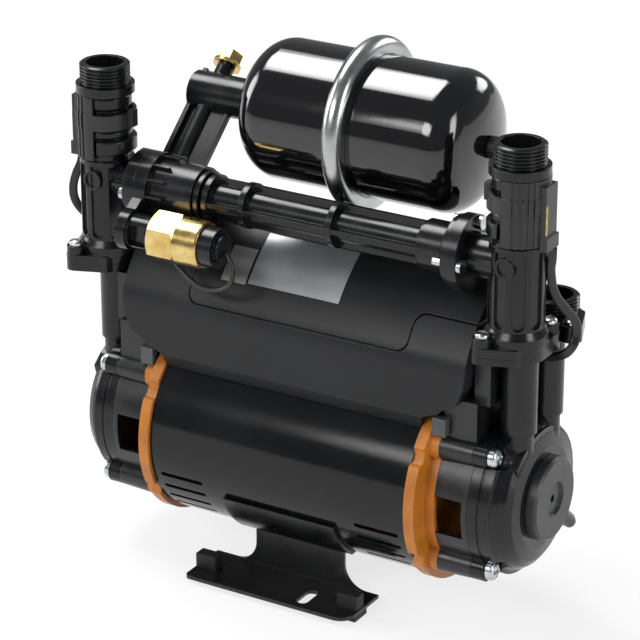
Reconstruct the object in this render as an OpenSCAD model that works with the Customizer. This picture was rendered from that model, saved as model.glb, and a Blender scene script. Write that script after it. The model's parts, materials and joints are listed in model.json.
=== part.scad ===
// Twin-ended shower booster pump: a motor with a pump at each end, two outlet
// towers joined by a cross tube, and a pressure vessel on an arm behind them.
// X runs along the motor shaft to the right, Y to the back, Z up from the floor.
// The origin is on the floor under the middle of the motor shaft.

/* [Motor] */
// Height of the motor shaft above the floor
shaft_h = 72.5; // [71:0.5:90]
// Length of the motor casing between the end plates
motor_len = 154; // [148:1:190]
// Outer radius of the motor casing
motor_r = 52; // [50.5:0.5:53]
// Wall of the motor casing
motor_wall = 1.8; // [1.2:0.1:2.4]
// Length of each cooling slot in the casing
slot_len = 26; // [16:1:32]
// Width of each cooling slot
slot_w = 2.6; // [1.8:0.2:3.2]
// Cooling slots in each group
slots = 4; // [2:1:4]
// Radius of the motor shaft
shaft_r = 4; // [3.4:0.1:4.2]
// Radius of the rotor
rotor_r = 26; // [22:0.5:28]

/* [End plates and brackets] */
// Thickness of each motor end plate
plate_t = 6; // [4:0.5:8]
// How far the end plate's rim stands out past the casing
rim_proud = 2; // [1:0.25:3]
// How far the end plate's inner step stands out towards the bracket
plate_step = 5.5; // [4:0.5:7]
// Distance from the end plate's rim to the pump body
bracket_len = 24; // [22:1:34]
// Outer radius of the bracket drum
drum_r = 43; // [42:0.5:44]
// Wall of the bracket drum
drum_wall = 3.1; // [2.4:0.1:3.4]
// Height of the window in the bracket
window_h = 21; // [14:1:24]
// Radius of the circle that the pump screws stand on
screw_circle_r = 44.4; // [44:0.2:45]
// Nominal thread diameter of the pump screws
screw_d = 5; // [4:0.5:5]

/* [Pump bodies] */
// Length of the body's rim that the screws clamp
body_rim_len = 12; // [10:0.5:13]
// Depth of the domed front of the pump body
dome_len = 11.5; // [11:0.5:16]
// Radius of the round cap on the end of the pump body
end_cap_r = 22.3; // [20:0.5:24]
// Distance of the water pipes from the bracket's face
pipe_set = 14; // [13:0.5:16]
// How far the water pipes stand before and behind the shaft
pipe_y = 14.5; // [13.5:0.5:15.5]
// Outer radius of the water pipes
pipe_r = 9.2; // [8.6:0.2:9.6]
// Height of the top of the water pipes above the shaft
pipe_rise = 84.9; // [80:0.5:96]
// Radius of each impeller
impeller_r = 31; // [26:0.5:31.5]
// Vanes on each impeller
vanes = 7; // [5:1:9]

/* [Outlet towers and inlet ports] */
// Distance of the towers and ports before and behind the shaft
port_y = 20.5; // [19:0.5:22]
// Outside radius of the pipe thread
thread_r = 13.22; // [13:0.02:13.4]
// Pitch of the pipe thread
thread_pitch = 1.814; // [1.6:0.002:2]
// Turns of thread that show
thread_turns = 6; // [4:1:6]
// Bore of the towers and ports
port_bore_r = 9.9; // [9:0.1:10.4]
// Height of each outlet tower above its flange
tower_h = 102.5; // [100:0.5:112]
// Outer radius of the sensor sleeve on a tower
sleeve_r = 15.6; // [15.2:0.1:16]
// Rise of the flow float from its seat
float_lift = 8; // [4:0.5:9]

/* [Cross tube and switch] */
// Height of the cross tube above the tower flanges
tube_rise = 40; // [36:0.5:42]
// Radius over the ribs of the cross tube
tube_rib_r = 11.7; // [10.5:0.1:12.2]
// Radius of the cross tube between its ribs
tube_r = 8.4; // [8:0.1:9]
// Radius of the right end flange of the cross tube
flange_r = 19.5; // [18.5:0.5:21]
// Width across the flats of the brass switch body
switch_flats = 24; // [21:0.5:24]
// How far the pressure switch stands before the cross tube
switch_fwd = 24.5; // [24:0.5:28]
// How far the pressure switch hangs below the cross tube
switch_drop = 16.1; // [15.5:0.1:18]

/* [Pressure vessel] */
// Radius of the vessel
tank_r = 37.2; // [34:0.2:38]
// Length of the vessel
tank_len = 137; // [124:1:150]
// Distance of the vessel behind the cross tube
tank_back = 44.5; // [43:0.5:50]
// Distance of the vessel above the cross tube
tank_up = 38.7; // [38:0.5:46]
// How far the steel clamp ring stands out past the vessel
clamp_out = 8.8; // [7:0.2:10]
// Width of the steel clamp ring
clamp_w = 11; // [9:0.5:12]

/* [Cover] */
// Distance of the cover's ends from the water pipes
cover_clear = 19; // [18.5:0.5:24]
// Height of the cover's ridge above the shaft
cover_rise = 117; // [112:0.5:117.5]
// Distance of the cover's front face before the shaft
cover_front = 38; // [37:0.5:41]
// Distance of the cover's back face behind the shaft
cover_back = 44; // [40:0.5:46]
// Wall of the cover
cover_wall = 2.5; // [1.8:0.1:3]
// Radius of the long curve of the cover's shoulders
shoulder_r = 91; // [88:1:100]
// Radius of the curve between the cover's faces and its shoulders
cover_fillet = 25; // [12:1:32]

/* [Foot] */
// Length of the steel foot along the shaft
foot_w = 100; // [92:1:112]
// Depth of the steel foot from front to back
foot_d = 116; // [112:1:126]
// Thickness of the foot's steel
foot_t = 2; // [1.5:0.1:2.4]
// Width of the fixing slots
foot_slot_w = 6.4; // [5.4:0.2:7]
// Length of the fixing slots, end to end
foot_slot_len = 15.5; // [12:0.5:17]
// Distance between the front and back fixing slots
foot_slot_gap = 92; // [88:1:96]
// Height of the rubber pads under the foot
pad_h = 3; // [2:0.5:4]

/* [Hidden] */
$fn = 48;
lead_sides = 8;

// Clearances and small shared sizes
seat_gap = 0.05;
air_gap = 0.4;
run_gap = 0.05;
seam = 0.6;
overrun = 1;
quarter = 90;
half_turn = 180;
full_turn = 360;

// Stations along the shaft, from the middle outwards
casing_end = motor_len / 2;
plate_end = casing_end + plate_t;
step_end = plate_end + plate_step;
bracket_end = plate_end + bracket_len;
rim_end = bracket_end + body_rim_len;
dome_end = rim_end + dome_len;
cap_out = 5;
pump_end = dome_end + cap_out;
pipe_x = bracket_end + pipe_set;
cover_half = pipe_x - cover_clear;

// Heights
pipe_top = shaft_h + pipe_rise;
body_flange_t = 4;
port_flange_t = 4.6;
joint_z = pipe_top + body_flange_t;
flange_top = joint_z + port_flange_t;
tower_top = flange_top + tower_h;
tube_z = flange_top + tube_rise;

// Screw places on the pump, worked out from the screw circle
screw_y = screw_circle_r * sin(45);
screw_hole_r = screw_d / 2 + 0.25;
screw_head_r = screw_d * 1.06;
screw_head_h = screw_d * 1.1;
ear_r = screw_d * 1.3;
tube_root_r = screw_d * 1.44;
ear_len = body_rim_len * 0.63;
screw_end_x = casing_end - 1;

// Motor insides
casing_bore = motor_r - motor_wall;
stack_len = motor_len * 0.42;
stator_bore = rotor_r + air_gap;
stator_teeth = 12;
bearing_r = 11;
bearing_bore_r = shaft_r;
bearing_w = 7;
ball_r = 1.9;
bearing_pitch_r = (bearing_r + bearing_bore_r) / 2;
hub_r = bearing_r + 4;
hub_in = 8;

// Pump insides
chamber_r = impeller_r + 1.6;
backplate_t = 5.5;
backplate_lip = 2;
backplate_r = drum_r - drum_wall - 3;
lip_r = drum_r - drum_wall - seat_gap;
seal_r = 9;
seal_groove = 1.8;
seal_out_r = backplate_r + 2.2;
impeller_gap = 1;
impeller_t = 7;
impeller_x = bracket_end + backplate_t - backplate_lip + impeller_gap;
chamber_end = impeller_x + impeller_t + impeller_gap;
pipe_bore_r = pipe_r - 2.8;
pipe_low_r = pipe_r - 1.4;
pipe_step_z = shaft_h + pipe_rise * 0.48;

// Port flanges: centre offsets from the pipe and the screw bosses
boss_r = 5.2;
flange_corner = 1.13;
front_flange_r = 15.3;
front_boss = [10, 16.7];
front_boss_top = flange_top + 4.5;
rear_flange_r = 13.2;
rear_flange_out = 1.3;
rear_boss = [14.7, -11];
port_head_r = 3.8;
port_screw_r = 2;
spigot_r = pipe_bore_r - seat_gap;
spigot_len = 9;

// Tower heights above the flange, from the bottom up
thread_len = thread_pitch * thread_turns;
collar_len = 4.8;
collar_r = thread_r + 2.2;
thread_foot = tower_top - thread_len;
collar_foot = thread_foot - collar_len;
waist_z = flange_top + tower_h * 0.502;
core_len = collar_foot - waist_z;
lower_r = 14.4;
base_r = 16.3;
base_len = 4;
core_r = 12.6;
bead_r = 13.7;
ring_foot = waist_z + core_len * 0.116;
ring_top = waist_z + core_len * 0.337;
low_bead_top = waist_z + core_len * 0.485;
high_bead_foot = waist_z + core_len * 0.78;
ring_wrap = 150;
front_boss_r = 5.4;
sleeve_foot = waist_z + 1.1;
sleeve_top = collar_foot - 0.3;
sleeve_bore = bead_r + 0.3;
sleeve_wrap = 196;
hoop_foot = waist_z + core_len * 0.5;
hoop_top = waist_z + core_len * 0.74;
housing_out = sleeve_r + 1.8;
housing_lip = 1.2;
housing_half = 6;
window_count = 9;
window_w = 6.6;
window_depth = 1.7;
seat_z = tube_z - 9;
seat_bore_r = 6.4;
float_r = port_bore_r - 1.1;
float_len = 20;
magnet_r = 3.4;
magnet_len = 9;
guide_z = seat_z + float_len + float_lift + 1;
guide_t = 3;
stem_r = 2;
stem_len = 6;

// Cross tube stations
tower_flange_x = pipe_x - 24.5;
tower_flange_t = 6;
tube_right = tower_flange_x - tower_flange_t;
left_flange_x = pipe_x - 21;
left_flange_t = 6.5;
left_flange_r = 18;
arm_ring_t = 7.5;
arm_ring_x = -(left_flange_x - left_flange_t);
sleeve_in_x = arm_ring_x + arm_ring_t;
tube_sleeve_r = 15;
tube_sleeve_len = 26;
sleeve_end_x = sleeve_in_x + tube_sleeve_len;
spigot_in = 14;
tube_bore = 5.6;
branch_r = 9.5;
branch_rib_t = 2.2;
rib_t = 2.4;
rib_ring_w = 3.2;
manifold_screw_r = 2;
manifold_head_r = 3.6;
manifold_screws_at = [67, 187, 307];
manifold_screw_circle = flange_r - 4;
left_screw_circle = left_flange_r - 3.6;

// Vessel and arm
arm_angle = atan2(tank_up, tank_back);
arm_len = sqrt(tank_up * tank_up + tank_back * tank_back);
arm_boss_r = 11;
arm_left_x = sleeve_in_x - 7.2;
arm_right_x = arm_left_x + 25;
ridge_x = arm_left_x + 10;
ridge_r = 4.8;
arm_web_t = 2.6;
arm_edge_h = 8;
tank_y = tank_back - port_y;
tank_z = tube_z + tank_up;
tank_left = arm_right_x + 12.8;
tank_right = tank_left + tank_len;
tank_mid = (tank_left + tank_right) / 2;
tank_wall = 1.4;
clamp_r = tank_r + clamp_out;
knuckle_r = 17;
crown_r = 75;
crown_turn = asin((tank_r - knuckle_r) / (crown_r - knuckle_r));
knuckle_x = crown_r - (crown_r - knuckle_r) * cos(crown_turn);
neck_r = 7;
neck_len = 16;
tank_lip_r = tank_r + 3.6;
tank_lip_t = 1.8;
rubber_t = 1.6;
clamp_skin = 1.6;
cap_r = 6;
cap_len = 11;
plug_flats = 12;
plug_h = 6;
washer_r = 7.6;
washer_t = 2;

// Pressure switch
switch_y = -port_y - switch_fwd;
switch_z = tube_z - switch_drop;
switch_x = pipe_x * -0.61;
stub_r = 9.4;
hex_len = 17;
round_len = 13.5;
round_r = switch_flats / 2 + 0.5;
switch_cap_r = 10.6;
switch_cap_len = 7.8;
switch_nose_r = 7.4;
switch_nose_len = 2.4;
lug_t = 6;
lug_r = 11;

// Cover
ridge_z = shaft_h + cover_rise;
shoulder_foot = ridge_z - 39.5;
ridge_half = 3;
ridge_y = (cover_back - cover_front) / 2;
cover_edge_angle = 50;
cover_gap = 0.4;
lid_left = -casing_end + 15;
lid_right = casing_end - 9;
lid_foot = shoulder_foot + 2;
lid_r = 6;
lid_step = 18;

// Foot
foot_shift = -3;
saddle_r = motor_r + 0.2;
saddle_angle = 24;
web_y = 26;
web_half = 27;
saddle_half = 33.6;
flare_r = 13;
foot_corner_r = 9;
left_corner_r = 3;
pad_w = 13;
pad_d = 12;
button_w = 12;
button_d = 7;
button_h = 8;
pad_neck_r = 3;
foot_slot_x = foot_w * 0.19 + foot_shift;
pad_x = foot_w * 0.435;
pad_y = foot_d / 2 - 14.5;

// Leads: routes chosen by hand, at the right, the left and the switch
lead_w = 4.6;
lead_t = 2.4;
lead_face = [0.86, 0.51, 0];
switch_lead_r = 1.36;
right_lead_route = [
  [137.9, -17.2, 215.9], [137.4, -16.3, 210], [136, -14.5, 204], [135.3, -12, 197.5],
  [135.2, -9.5, 191], [136.7, -6.8, 184.9], [139.4, -3.4, 179.2], [142.2, -0.5, 174],
  [143.4, 1.3, 169.3], [143.4, 1.3, 163.8], [142.7, -0.7, 159.3], [138.8, -0.8, 154.2],
  [132, 0.3, 150.5], [126, 0, 149.6], [119.5, 0, 149.4], [111.6, 0, 149.4]
];
left_lead_route = [
  [-138, -18.6, 215.9], [-138.9, -19.5, 209.5], [-141, -21, 203.5], [-142.8, -21.5, 196.5],
  [-142.9, -20.8, 189.5], [-141.4, -18, 183], [-138.6, -13.5, 177.5], [-134.8, -8, 174.2],
  [-129.6, -2.4, 172.4], [-122.5, 1.6, 171.6], [-115, 5, 170.8], [-108.8, 8.4, 168],
  [-105.4, 10, 162.5], [-105, 10, 156.1]
];
switch_lead_route = [
  [-32.8, -45, 187.4], [-31.4, -45.1, 187.2], [-29, -46.2, 184.4], [-27.3, -46.8, 179.6],
  [-28, -46.8, 174.2], [-31.6, -46.4, 169.8], [-37.5, -45.8, 167], [-44.5, -45, 166],
  [-51.5, -44, 166.8], [-58, -42.8, 169.6], [-64, -41, 173.2], [-69.5, -37.5, 175.4],
  [-74, -32.5, 176.8], [-77, -27, 177.2], [-78, -21.8, 176.6]
];

// The pump's left half mirrors its right half
module mirrored(side) {
  if (side < 0) mirror([1, 0, 0]) children();
  else children();
}

// The four places of a pump's screws
module at_screws() {
  for (y = [-1, 1]) for (z = [-1, 1])
    translate([0, y * screw_y, shaft_h + z * screw_y]) children();
}

// Turns a solid that stands on Z so that it lies along X from the shaft's middle
module along_x() {
  rotate([quarter, 0, quarter]) children();
}

// A revolved outline of [x, r] points about the shaft
module shaft_revolve(points) {
  translate([0, 0, shaft_h]) rotate([0, quarter, 0]) rotate_extrude()
    polygon([for (p = points) [p[1], p[0]]]);
}

// A round bar along X at a place in Y and Z
module bar_x(x0, x1, y, z, r) {
  translate([x0, y, z]) rotate([0, quarter, 0]) cylinder(h = x1 - x0, r = r);
}

// A tube that follows a list of points, closed at both ends, and as thick as flat times its width
function unit(v) = v / norm(v);
function tangent(p, i) =
  let (a = p[max(i - 1, 0)], b = p[min(i + 1, len(p) - 1)]) unit(b - a);
// Rings that carry their up direction along, so that the tube never twists
function carried(p, i, v) = i >= len(p) ? [] :
  let (t = tangent(p, i), w = unit(v - (v * t) * t)) concat([w], carried(p, i + 1, w));

module lead(p, r, v0, flat) {
  n = len(p);
  s = lead_sides;
  ups = carried(p, 0, v0);
  points = [for (i = [0 : n - 1]) for (k = [0 : s - 1])
    p[i] + r * (cos(k * full_turn / s) * ups[i]
      + flat * sin(k * full_turn / s) * cross(tangent(p, i), ups[i]))];
  walls = [for (i = [0 : n - 2]) for (k = [0 : s - 1])
    let (a = i * s + k, b = i * s + (k + 1) % s) each [[a, b, b + s], [a, b + s, a + s]]];
  caps = [[for (k = [0 : s - 1]) s - 1 - k], [for (k = [0 : s - 1]) (n - 1) * s + k]];
  polyhedron(points = points, faces = concat(walls, caps));
}

module motor_casing() {
  color("#26272a") difference() {
    bar_x(-casing_end, casing_end, 0, shaft_h, motor_r);
    bar_x(-casing_end - overrun, casing_end + overrun, 0, shaft_h, casing_bore);
    for (end = [-1, 1]) for (face = [-1, 1]) for (i = [0 : slots - 1])
      cooling_slot(end, face, 18 + i * 28.8 / 3);
  }
}

module cooling_slot(end, face, angle) {
  mid = end * (casing_end - 18);
  translate([mid, 0, shaft_h]) rotate([face * (quarter + angle), 0, 0])
    translate([0, 0, motor_r - motor_wall * 2]) {
      translate([-slot_len / 2 + slot_w / 2, -slot_w / 2, 0])
        cube([slot_len - slot_w, slot_w, motor_wall * 3]);
      for (s = [-1, 1]) translate([s * (slot_len - slot_w) / 2, 0, 0])
        cylinder(h = motor_wall * 3, r = slot_w / 2);
    }
}

module stator_core() {
  slot_depth = (casing_bore - stator_bore) * 0.55;
  color("#5c6066") difference() {
    bar_x(-stack_len / 2, stack_len / 2, 0, shaft_h, casing_bore - seat_gap);
    bar_x(-stack_len / 2 - overrun, stack_len / 2 + overrun, 0, shaft_h, stator_bore);
    for (i = [0 : stator_teeth - 1]) translate([0, 0, shaft_h])
      rotate([i * full_turn / stator_teeth, 0, 0])
        translate([-stack_len / 2 - overrun, -slot_depth / 4, stator_bore - overrun])
          cube([stack_len + 2 * overrun, slot_depth / 2, slot_depth + overrun]);
  }
}

module stator_windings() {
  ring_w = (casing_end - stack_len / 2) * 0.5;
  r_out = casing_bore * 0.86;
  r_in = stator_bore + air_gap * 3;
  color("#a4552a") for (side = [-1, 1]) mirrored(side)
    shaft_revolve([
      [stack_len / 2 + seat_gap, r_in], [stack_len / 2 + ring_w * 0.8, r_in],
      [stack_len / 2 + ring_w, r_in + ring_w * 0.2],
      [stack_len / 2 + ring_w, r_out - ring_w * 0.2],
      [stack_len / 2 + ring_w * 0.8, r_out], [stack_len / 2 + seat_gap, r_out]
    ]);
}

module rotor_core() {
  color("#8b8f94") difference() {
    union() {
      bar_x(-stack_len / 2, stack_len / 2, 0, shaft_h, rotor_r);
      bar_x(-stack_len * 0.56, stack_len * 0.56, 0, shaft_h, rotor_r * 0.92);
    }
    bar_x(-stack_len, stack_len, 0, shaft_h, shaft_r * 1.5 + seat_gap);
  }
}

module motor_shaft() {
  shoulder = bearing_x - bearing_w / 2 - seat_gap;
  tip = impeller_x + impeller_t - impeller_gap;
  color("#c9ccd0") shaft_revolve([
    [-tip, 0], [-tip, shaft_r], [-shoulder, shaft_r], [-shoulder, shaft_r * 1.5],
    [shoulder, shaft_r * 1.5], [shoulder, shaft_r], [tip, shaft_r], [tip, 0]
  ]);
}

// The bearings sit in the end plates, with their outer faces flush with the plates
bearing_x = casing_end - bearing_w / 2 + plate_t / 2;

module bearing_ring(r_in, r_out, groove) {
  x0 = bearing_x - bearing_w / 2;
  x1 = bearing_x + bearing_w / 2;
  difference() {
    bar_x(x0, x1, 0, shaft_h, r_out);
    bar_x(x0 - overrun, x1 + overrun, 0, shaft_h, r_in);
    translate([bearing_x, 0, shaft_h]) rotate([0, quarter, 0]) rotate_extrude()
      translate([bearing_pitch_r, 0]) circle(r = groove);
  }
}

module bearing_outer_rings() {
  color("#d5d8db") for (side = [-1, 1]) mirrored(side)
    bearing_ring(bearing_pitch_r + ball_r * 0.6, bearing_r, ball_r + run_gap);
}

module bearing_inner_rings() {
  color("#d5d8db") for (side = [-1, 1]) mirrored(side)
    bearing_ring(bearing_bore_r + run_gap / 2, bearing_pitch_r - ball_r * 0.6, ball_r + run_gap);
}

module bearing_balls() {
  balls = 7;
  color("#e4e6e8") for (side = [-1, 1]) for (i = [0 : balls - 1])
    translate([side * bearing_x, 0, shaft_h]) rotate([i * full_turn / balls, 0, 0])
      translate([0, 0, bearing_pitch_r]) sphere(r = ball_r);
}

// The orange end plate closes the casing, holds the bearing and carries the bracket
module end_plate() {
  notch_r = 5;
  spigot = casing_end - 4;
  color("#c9741c") difference() {
    union() {
      bar_x(casing_end + seat_gap, plate_end, 0, shaft_h, motor_r + rim_proud);
      bar_x(spigot, casing_end + overrun, 0, shaft_h, casing_bore - seat_gap);
      bar_x(casing_end - hub_in, casing_end + overrun, 0, shaft_h, hub_r);
      bar_x(casing_end + overrun, step_end, 0, shaft_h, drum_r);
      at_screws() bar_x(casing_end + overrun, step_end, 0, 0, tube_root_r);
    }
    bar_x(plate_end, step_end + overrun, 0, shaft_h, drum_r - drum_wall);
    difference() {
      bar_x(spigot - overrun, casing_end - overrun, 0, shaft_h, casing_bore - 4);
      bar_x(spigot - 2 * overrun, casing_end, 0, shaft_h, hub_r);
    }
    bar_x(casing_end - hub_in - overrun, bearing_x + bearing_w / 2 + seat_gap, 0, shaft_h,
      bearing_r + seat_gap);
    bar_x(casing_end, plate_end + overrun, 0, shaft_h, shaft_r + air_gap);
    for (f = [-1, 1]) for (a = [-32, 32]) translate([0, 0, shaft_h]) rotate([a, 0, 0])
      bar_x(casing_end - overrun / 4, plate_end + overrun, f * (motor_r + rim_proud + notch_r * 0.35),
        0, notch_r);
    at_screws() bar_x(casing_end - hub_in, step_end + overrun, 0, 0, screw_hole_r);
  }
}

module left_end_plate() {
  mirrored(-1) end_plate();
}

module right_end_plate() {
  end_plate();
}

// The bracket: an open drum with two windows, four screw tubes and a boxed deck on top
deck_y = 33;
deck_z = shaft_h + 59;
deck_wall = 2.5;
deck_foot = shaft_h + 38;
riser_y = 28;
riser_z = pipe_top - 1.5;

module pump_bracket() {
  x0 = step_end + seat_gap;
  color("#232427") difference() {
    union() {
      bar_x(x0, bracket_end, 0, shaft_h, drum_r);
      at_screws() translate([x0, 0, 0]) rotate([0, quarter, 0])
        cylinder(h = bracket_end - x0, r1 = tube_root_r, r2 = ear_r);
      deck();
    }
    bar_x(x0 - overrun, bracket_end + overrun, 0, shaft_h, drum_r - drum_wall);
    at_screws() bar_x(x0 - overrun, bracket_end + overrun, 0, 0, screw_hole_r);
    translate([x0 - overrun, -drum_r - overrun, shaft_h - window_h * 0.62])
      cube([(bracket_end - x0) * 0.84 + overrun, 2 * drum_r + 2 * overrun, window_h]);
  }
}

module deck() {
  x0 = step_end + seat_gap;
  riser_x = cover_half + 0.5;
  riser_end = pipe_x - pipe_r - 0.3;
  difference() {
    union() {
      translate([x0, -deck_y, deck_foot])
        cube([bracket_end - x0, 2 * deck_y, deck_z - deck_foot]);
      translate([riser_x, -riser_y, deck_z - deck_wall])
        cube([riser_end - riser_x, 2 * riser_y, riser_z - deck_z + deck_wall]);
    }
    translate([x0 + deck_wall, -deck_y + deck_wall, deck_foot - overrun])
      cube([bracket_end - x0 - 2 * deck_wall, 2 * (deck_y - deck_wall),
        deck_z - deck_foot - deck_wall + overrun]);
    translate([riser_x + deck_wall, -riser_y + deck_wall, deck_z + overrun])
      cube([riser_end - riser_x - 2 * deck_wall, 2 * (riser_y - deck_wall),
        riser_z - deck_z - deck_wall - overrun]);
  }
}

module left_pump_bracket() {
  mirrored(-1) pump_bracket();
}

module right_pump_bracket() {
  pump_bracket();
}

module backplate() {
  x0 = bracket_end - backplate_lip;
  color("#3b3c40") difference() {
    union() {
      bar_x(x0, bracket_end - seat_gap, 0, shaft_h, lip_r);
      bar_x(x0, x0 + backplate_t, 0, shaft_h, backplate_r - seat_gap);
      bar_x(x0 - 6, x0 + overrun, 0, shaft_h, seal_r + 4);
    }
    bar_x(x0 - 6 + 2, x0 + backplate_t + overrun, 0, shaft_h, seal_r + seat_gap);
    bar_x(x0 - 6 - overrun, x0 + backplate_t, 0, shaft_h, shaft_r + air_gap);
  }
}

module left_backplate() {
  mirrored(-1) backplate();
}

module right_backplate() {
  backplate();
}

// The pump body: a clamped rim, a domed front with a spiral swelling, and two pipes
module pump_body(hand) {
  x0 = bracket_end + seat_gap;
  step_r = drum_r - 1.9;
  groove_x = bracket_end + body_rim_len * 0.45;
  color("#28292c") difference() {
    union() {
      shaft_revolve([
        [x0, 0], [x0, drum_r], [groove_x, drum_r], [groove_x + 0.4, drum_r - 0.7],
        [groove_x + 1.2, drum_r - 0.7], [groove_x + 1.6, drum_r], [rim_end, drum_r],
        [rim_end + 0.5, step_r],
        [rim_end + dome_len * 0.3, step_r - 1.2], [rim_end + dome_len * 0.6, step_r - 3.6],
        [rim_end + dome_len * 0.8, step_r - 7], [dome_end - 1, end_cap_r + 5],
        [dome_end - 1, 0]
      ]);
      spiral();
      drain_place() cylinder(h = drain_seat, r = drain_r + 1.7);
      at_screws() bar_x(x0, bracket_end + ear_len, 0, 0, ear_r);
      for (s = [-1, 1]) {
        translate([pipe_x, s * pipe_y, shaft_h])
          cylinder(h = pipe_step_z - shaft_h + overrun, r = pipe_low_r);
        translate([pipe_x, s * pipe_y, pipe_step_z])
          cylinder(h = pipe_top - pipe_step_z, r = pipe_r);
      }
      translate([pipe_x, 0, pipe_top]) {
        front_lozenge(hand, body_flange_t - seat_gap);
        rear_lozenge(body_flange_t - seat_gap);
      }
    }
    bar_x(x0 - overrun, chamber_end, 0, shaft_h, chamber_r);
    bar_x(x0 - overrun, bracket_end + seal_groove, 0, shaft_h, seal_out_r + seat_gap);
    bar_x(x0 - overrun, bracket_end + backplate_t - backplate_lip + seat_gap, 0, shaft_h,
      backplate_r);
    bar_x(dome_end - 4, pump_end, 0, shaft_h, end_cap_r - 3);
    for (s = [-1, 1]) translate([pipe_x, s * pipe_y, shaft_h + chamber_r * 0.4])
      cylinder(h = joint_z, r = pipe_bore_r);
    at_screws() {
      bar_x(x0 - overrun, rim_end, 0, 0, screw_hole_r);
      bar_x(bracket_end + ear_len, pump_end, 0, 0, screw_head_r + 0.4);
    }
    front_screw_places(hand, pipe_top - overrun) cylinder(h = tower_h, r = port_screw_r);
    rear_screw_places(pipe_top - overrun) cylinder(h = tower_h, r = port_screw_r);
    drain_place() cylinder(h = drum_r, r = drain_r + seat_gap);
  }
}

// The swelling of the volute grows as it winds round to the outlet pipe
module spiral() {
  turns = 30;
  r_start = end_cap_r + 7;
  r_grow = 9.5;
  x0 = rim_end + dome_len * 0.3;
  translate([x0, 0, shaft_h]) along_x()
    linear_extrude(height = dome_end - 2.5 - x0)
      polygon([for (i = [0 : turns - 1])
        let (a = i * full_turn / turns, r = r_start + r_grow * i / (turns - 1))
        [r * cos(a + 150), r * sin(a + 150)]]);
}

// The port flanges: a round plate drawn out to a screw boss on each side, with a corner
// where the edge leaves the round. The front ones are the same way round on both pumps, so
// the left one is mirrored back with hand -1. The rear ones mirror each other
module lozenge(hand, r, boss, t) {
  d = norm(boss);
  a = acos((r - boss_r) / d);
  k = hand > 0 ? [flange_corner, 1] : [1, flange_corner];
  rotate([0, 0, atan2(boss[1], hand * boss[0])]) linear_extrude(height = t) {
    circle(r = r);
    for (s = [-1, 1]) translate([s * d, 0]) circle(r = boss_r);
    polygon([
      k[0] * r * [cos(a), sin(a)], k[1] * r * [-cos(a), sin(a)],
      [-d - boss_r * cos(a), boss_r * sin(a)], [-d - boss_r * cos(a), -boss_r * sin(a)],
      k[0] * r * [-cos(a), -sin(a)], k[1] * r * [cos(a), -sin(a)],
      [d + boss_r * cos(a), -boss_r * sin(a)], [d + boss_r * cos(a), boss_r * sin(a)]
    ]);
  }
}

module front_lozenge(hand, t) {
  translate([0, -port_y, 0]) lozenge(hand, front_flange_r, front_boss, t);
}

module rear_lozenge(t) {
  translate([rear_flange_out, port_y, 0]) lozenge(1, rear_flange_r, rear_boss, t);
}

module front_screw_places(hand, z) {
  for (s = [-1, 1])
    translate([pipe_x + s * hand * front_boss[0], -port_y + s * front_boss[1], z]) children();
}

module rear_screw_places(z) {
  for (s = [-1, 1])
    translate([pipe_x + rear_flange_out + s * rear_boss[0], port_y + s * rear_boss[1], z])
      children();
}

module left_pump_body() {
  mirrored(-1) pump_body(-1);
}

module right_pump_body() {
  pump_body(1);
}

// The drain plug screws into the back of the body, low down
drain_r = 2.4;
drain_from = chamber_r * 0.8;
drain_seat = drum_r - 2.6 - drain_from;

module drain_place() {
  translate([rim_end + dome_len * 0.8, 0, shaft_h]) rotate([-quarter - 41, 0, 0])
    translate([0, 0, drain_from]) children();
}

module drain_plugs() {
  color("#2c2d30") for (side = [-1, 1]) mirrored(side) drain_place() difference() {
    union() {
      translate([0, 0, drain_seat * 0.5]) cylinder(h = drain_seat * 0.5 + 2, r = drain_r);
      translate([0, 0, drain_seat + 0.2]) cylinder(h = 3, r = drain_r + 1);
    }
    translate([-overrun / 2, -drain_r, drain_seat + 2]) cube([overrun, 2 * drain_r, 2]);
  }
}

module impeller() {
  x0 = impeller_x;
  hub = shaft_r + 4;
  color("#d9d4c4") difference() {
    union() {
      bar_x(x0, x0 + 2.2, 0, shaft_h, impeller_r);
      bar_x(x0, x0 + impeller_t, 0, shaft_h, hub);
      for (i = [0 : vanes - 1]) translate([x0 + overrun, 0, shaft_h])
        rotate([i * full_turn / vanes, 0, 0]) translate([0, hub * 0.5, hub * 0.4])
          rotate([-24, 0, 0])
            cube([impeller_t - overrun, 1.8, (impeller_r - hub) * 0.96]);
    }
    bar_x(x0 - overrun, x0 + impeller_t - impeller_gap, 0, shaft_h, shaft_r + seat_gap);
  }
}

module left_impeller() {
  mirrored(-1) impeller();
}

module right_impeller() {
  impeller();
}

// The shaft seal: a still ceramic seat in the backplate and a turning head on the shaft
module seal_seats() {
  x0 = bracket_end - backplate_lip - 3.9;
  color("#e8e4da") for (side = [-1, 1]) mirrored(side) difference() {
    bar_x(x0, x0 + 4, 0, shaft_h, seal_r);
    bar_x(x0 - overrun, x0 + 4 + overrun, 0, shaft_h, shaft_r + air_gap);
  }
}

module seal_heads() {
  x0 = bracket_end - backplate_lip + 0.2;
  x1 = impeller_x - seat_gap;
  color("#4a4b4f") for (side = [-1, 1]) mirrored(side) difference() {
    union() {
      bar_x(x0, x0 + 2, 0, shaft_h, seal_r - 1.4);
      bar_x(x0, x1, 0, shaft_h, seal_r - 2.4);
    }
    bar_x(x0 - overrun, x1 + overrun, 0, shaft_h, shaft_r + seat_gap);
  }
}

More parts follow.
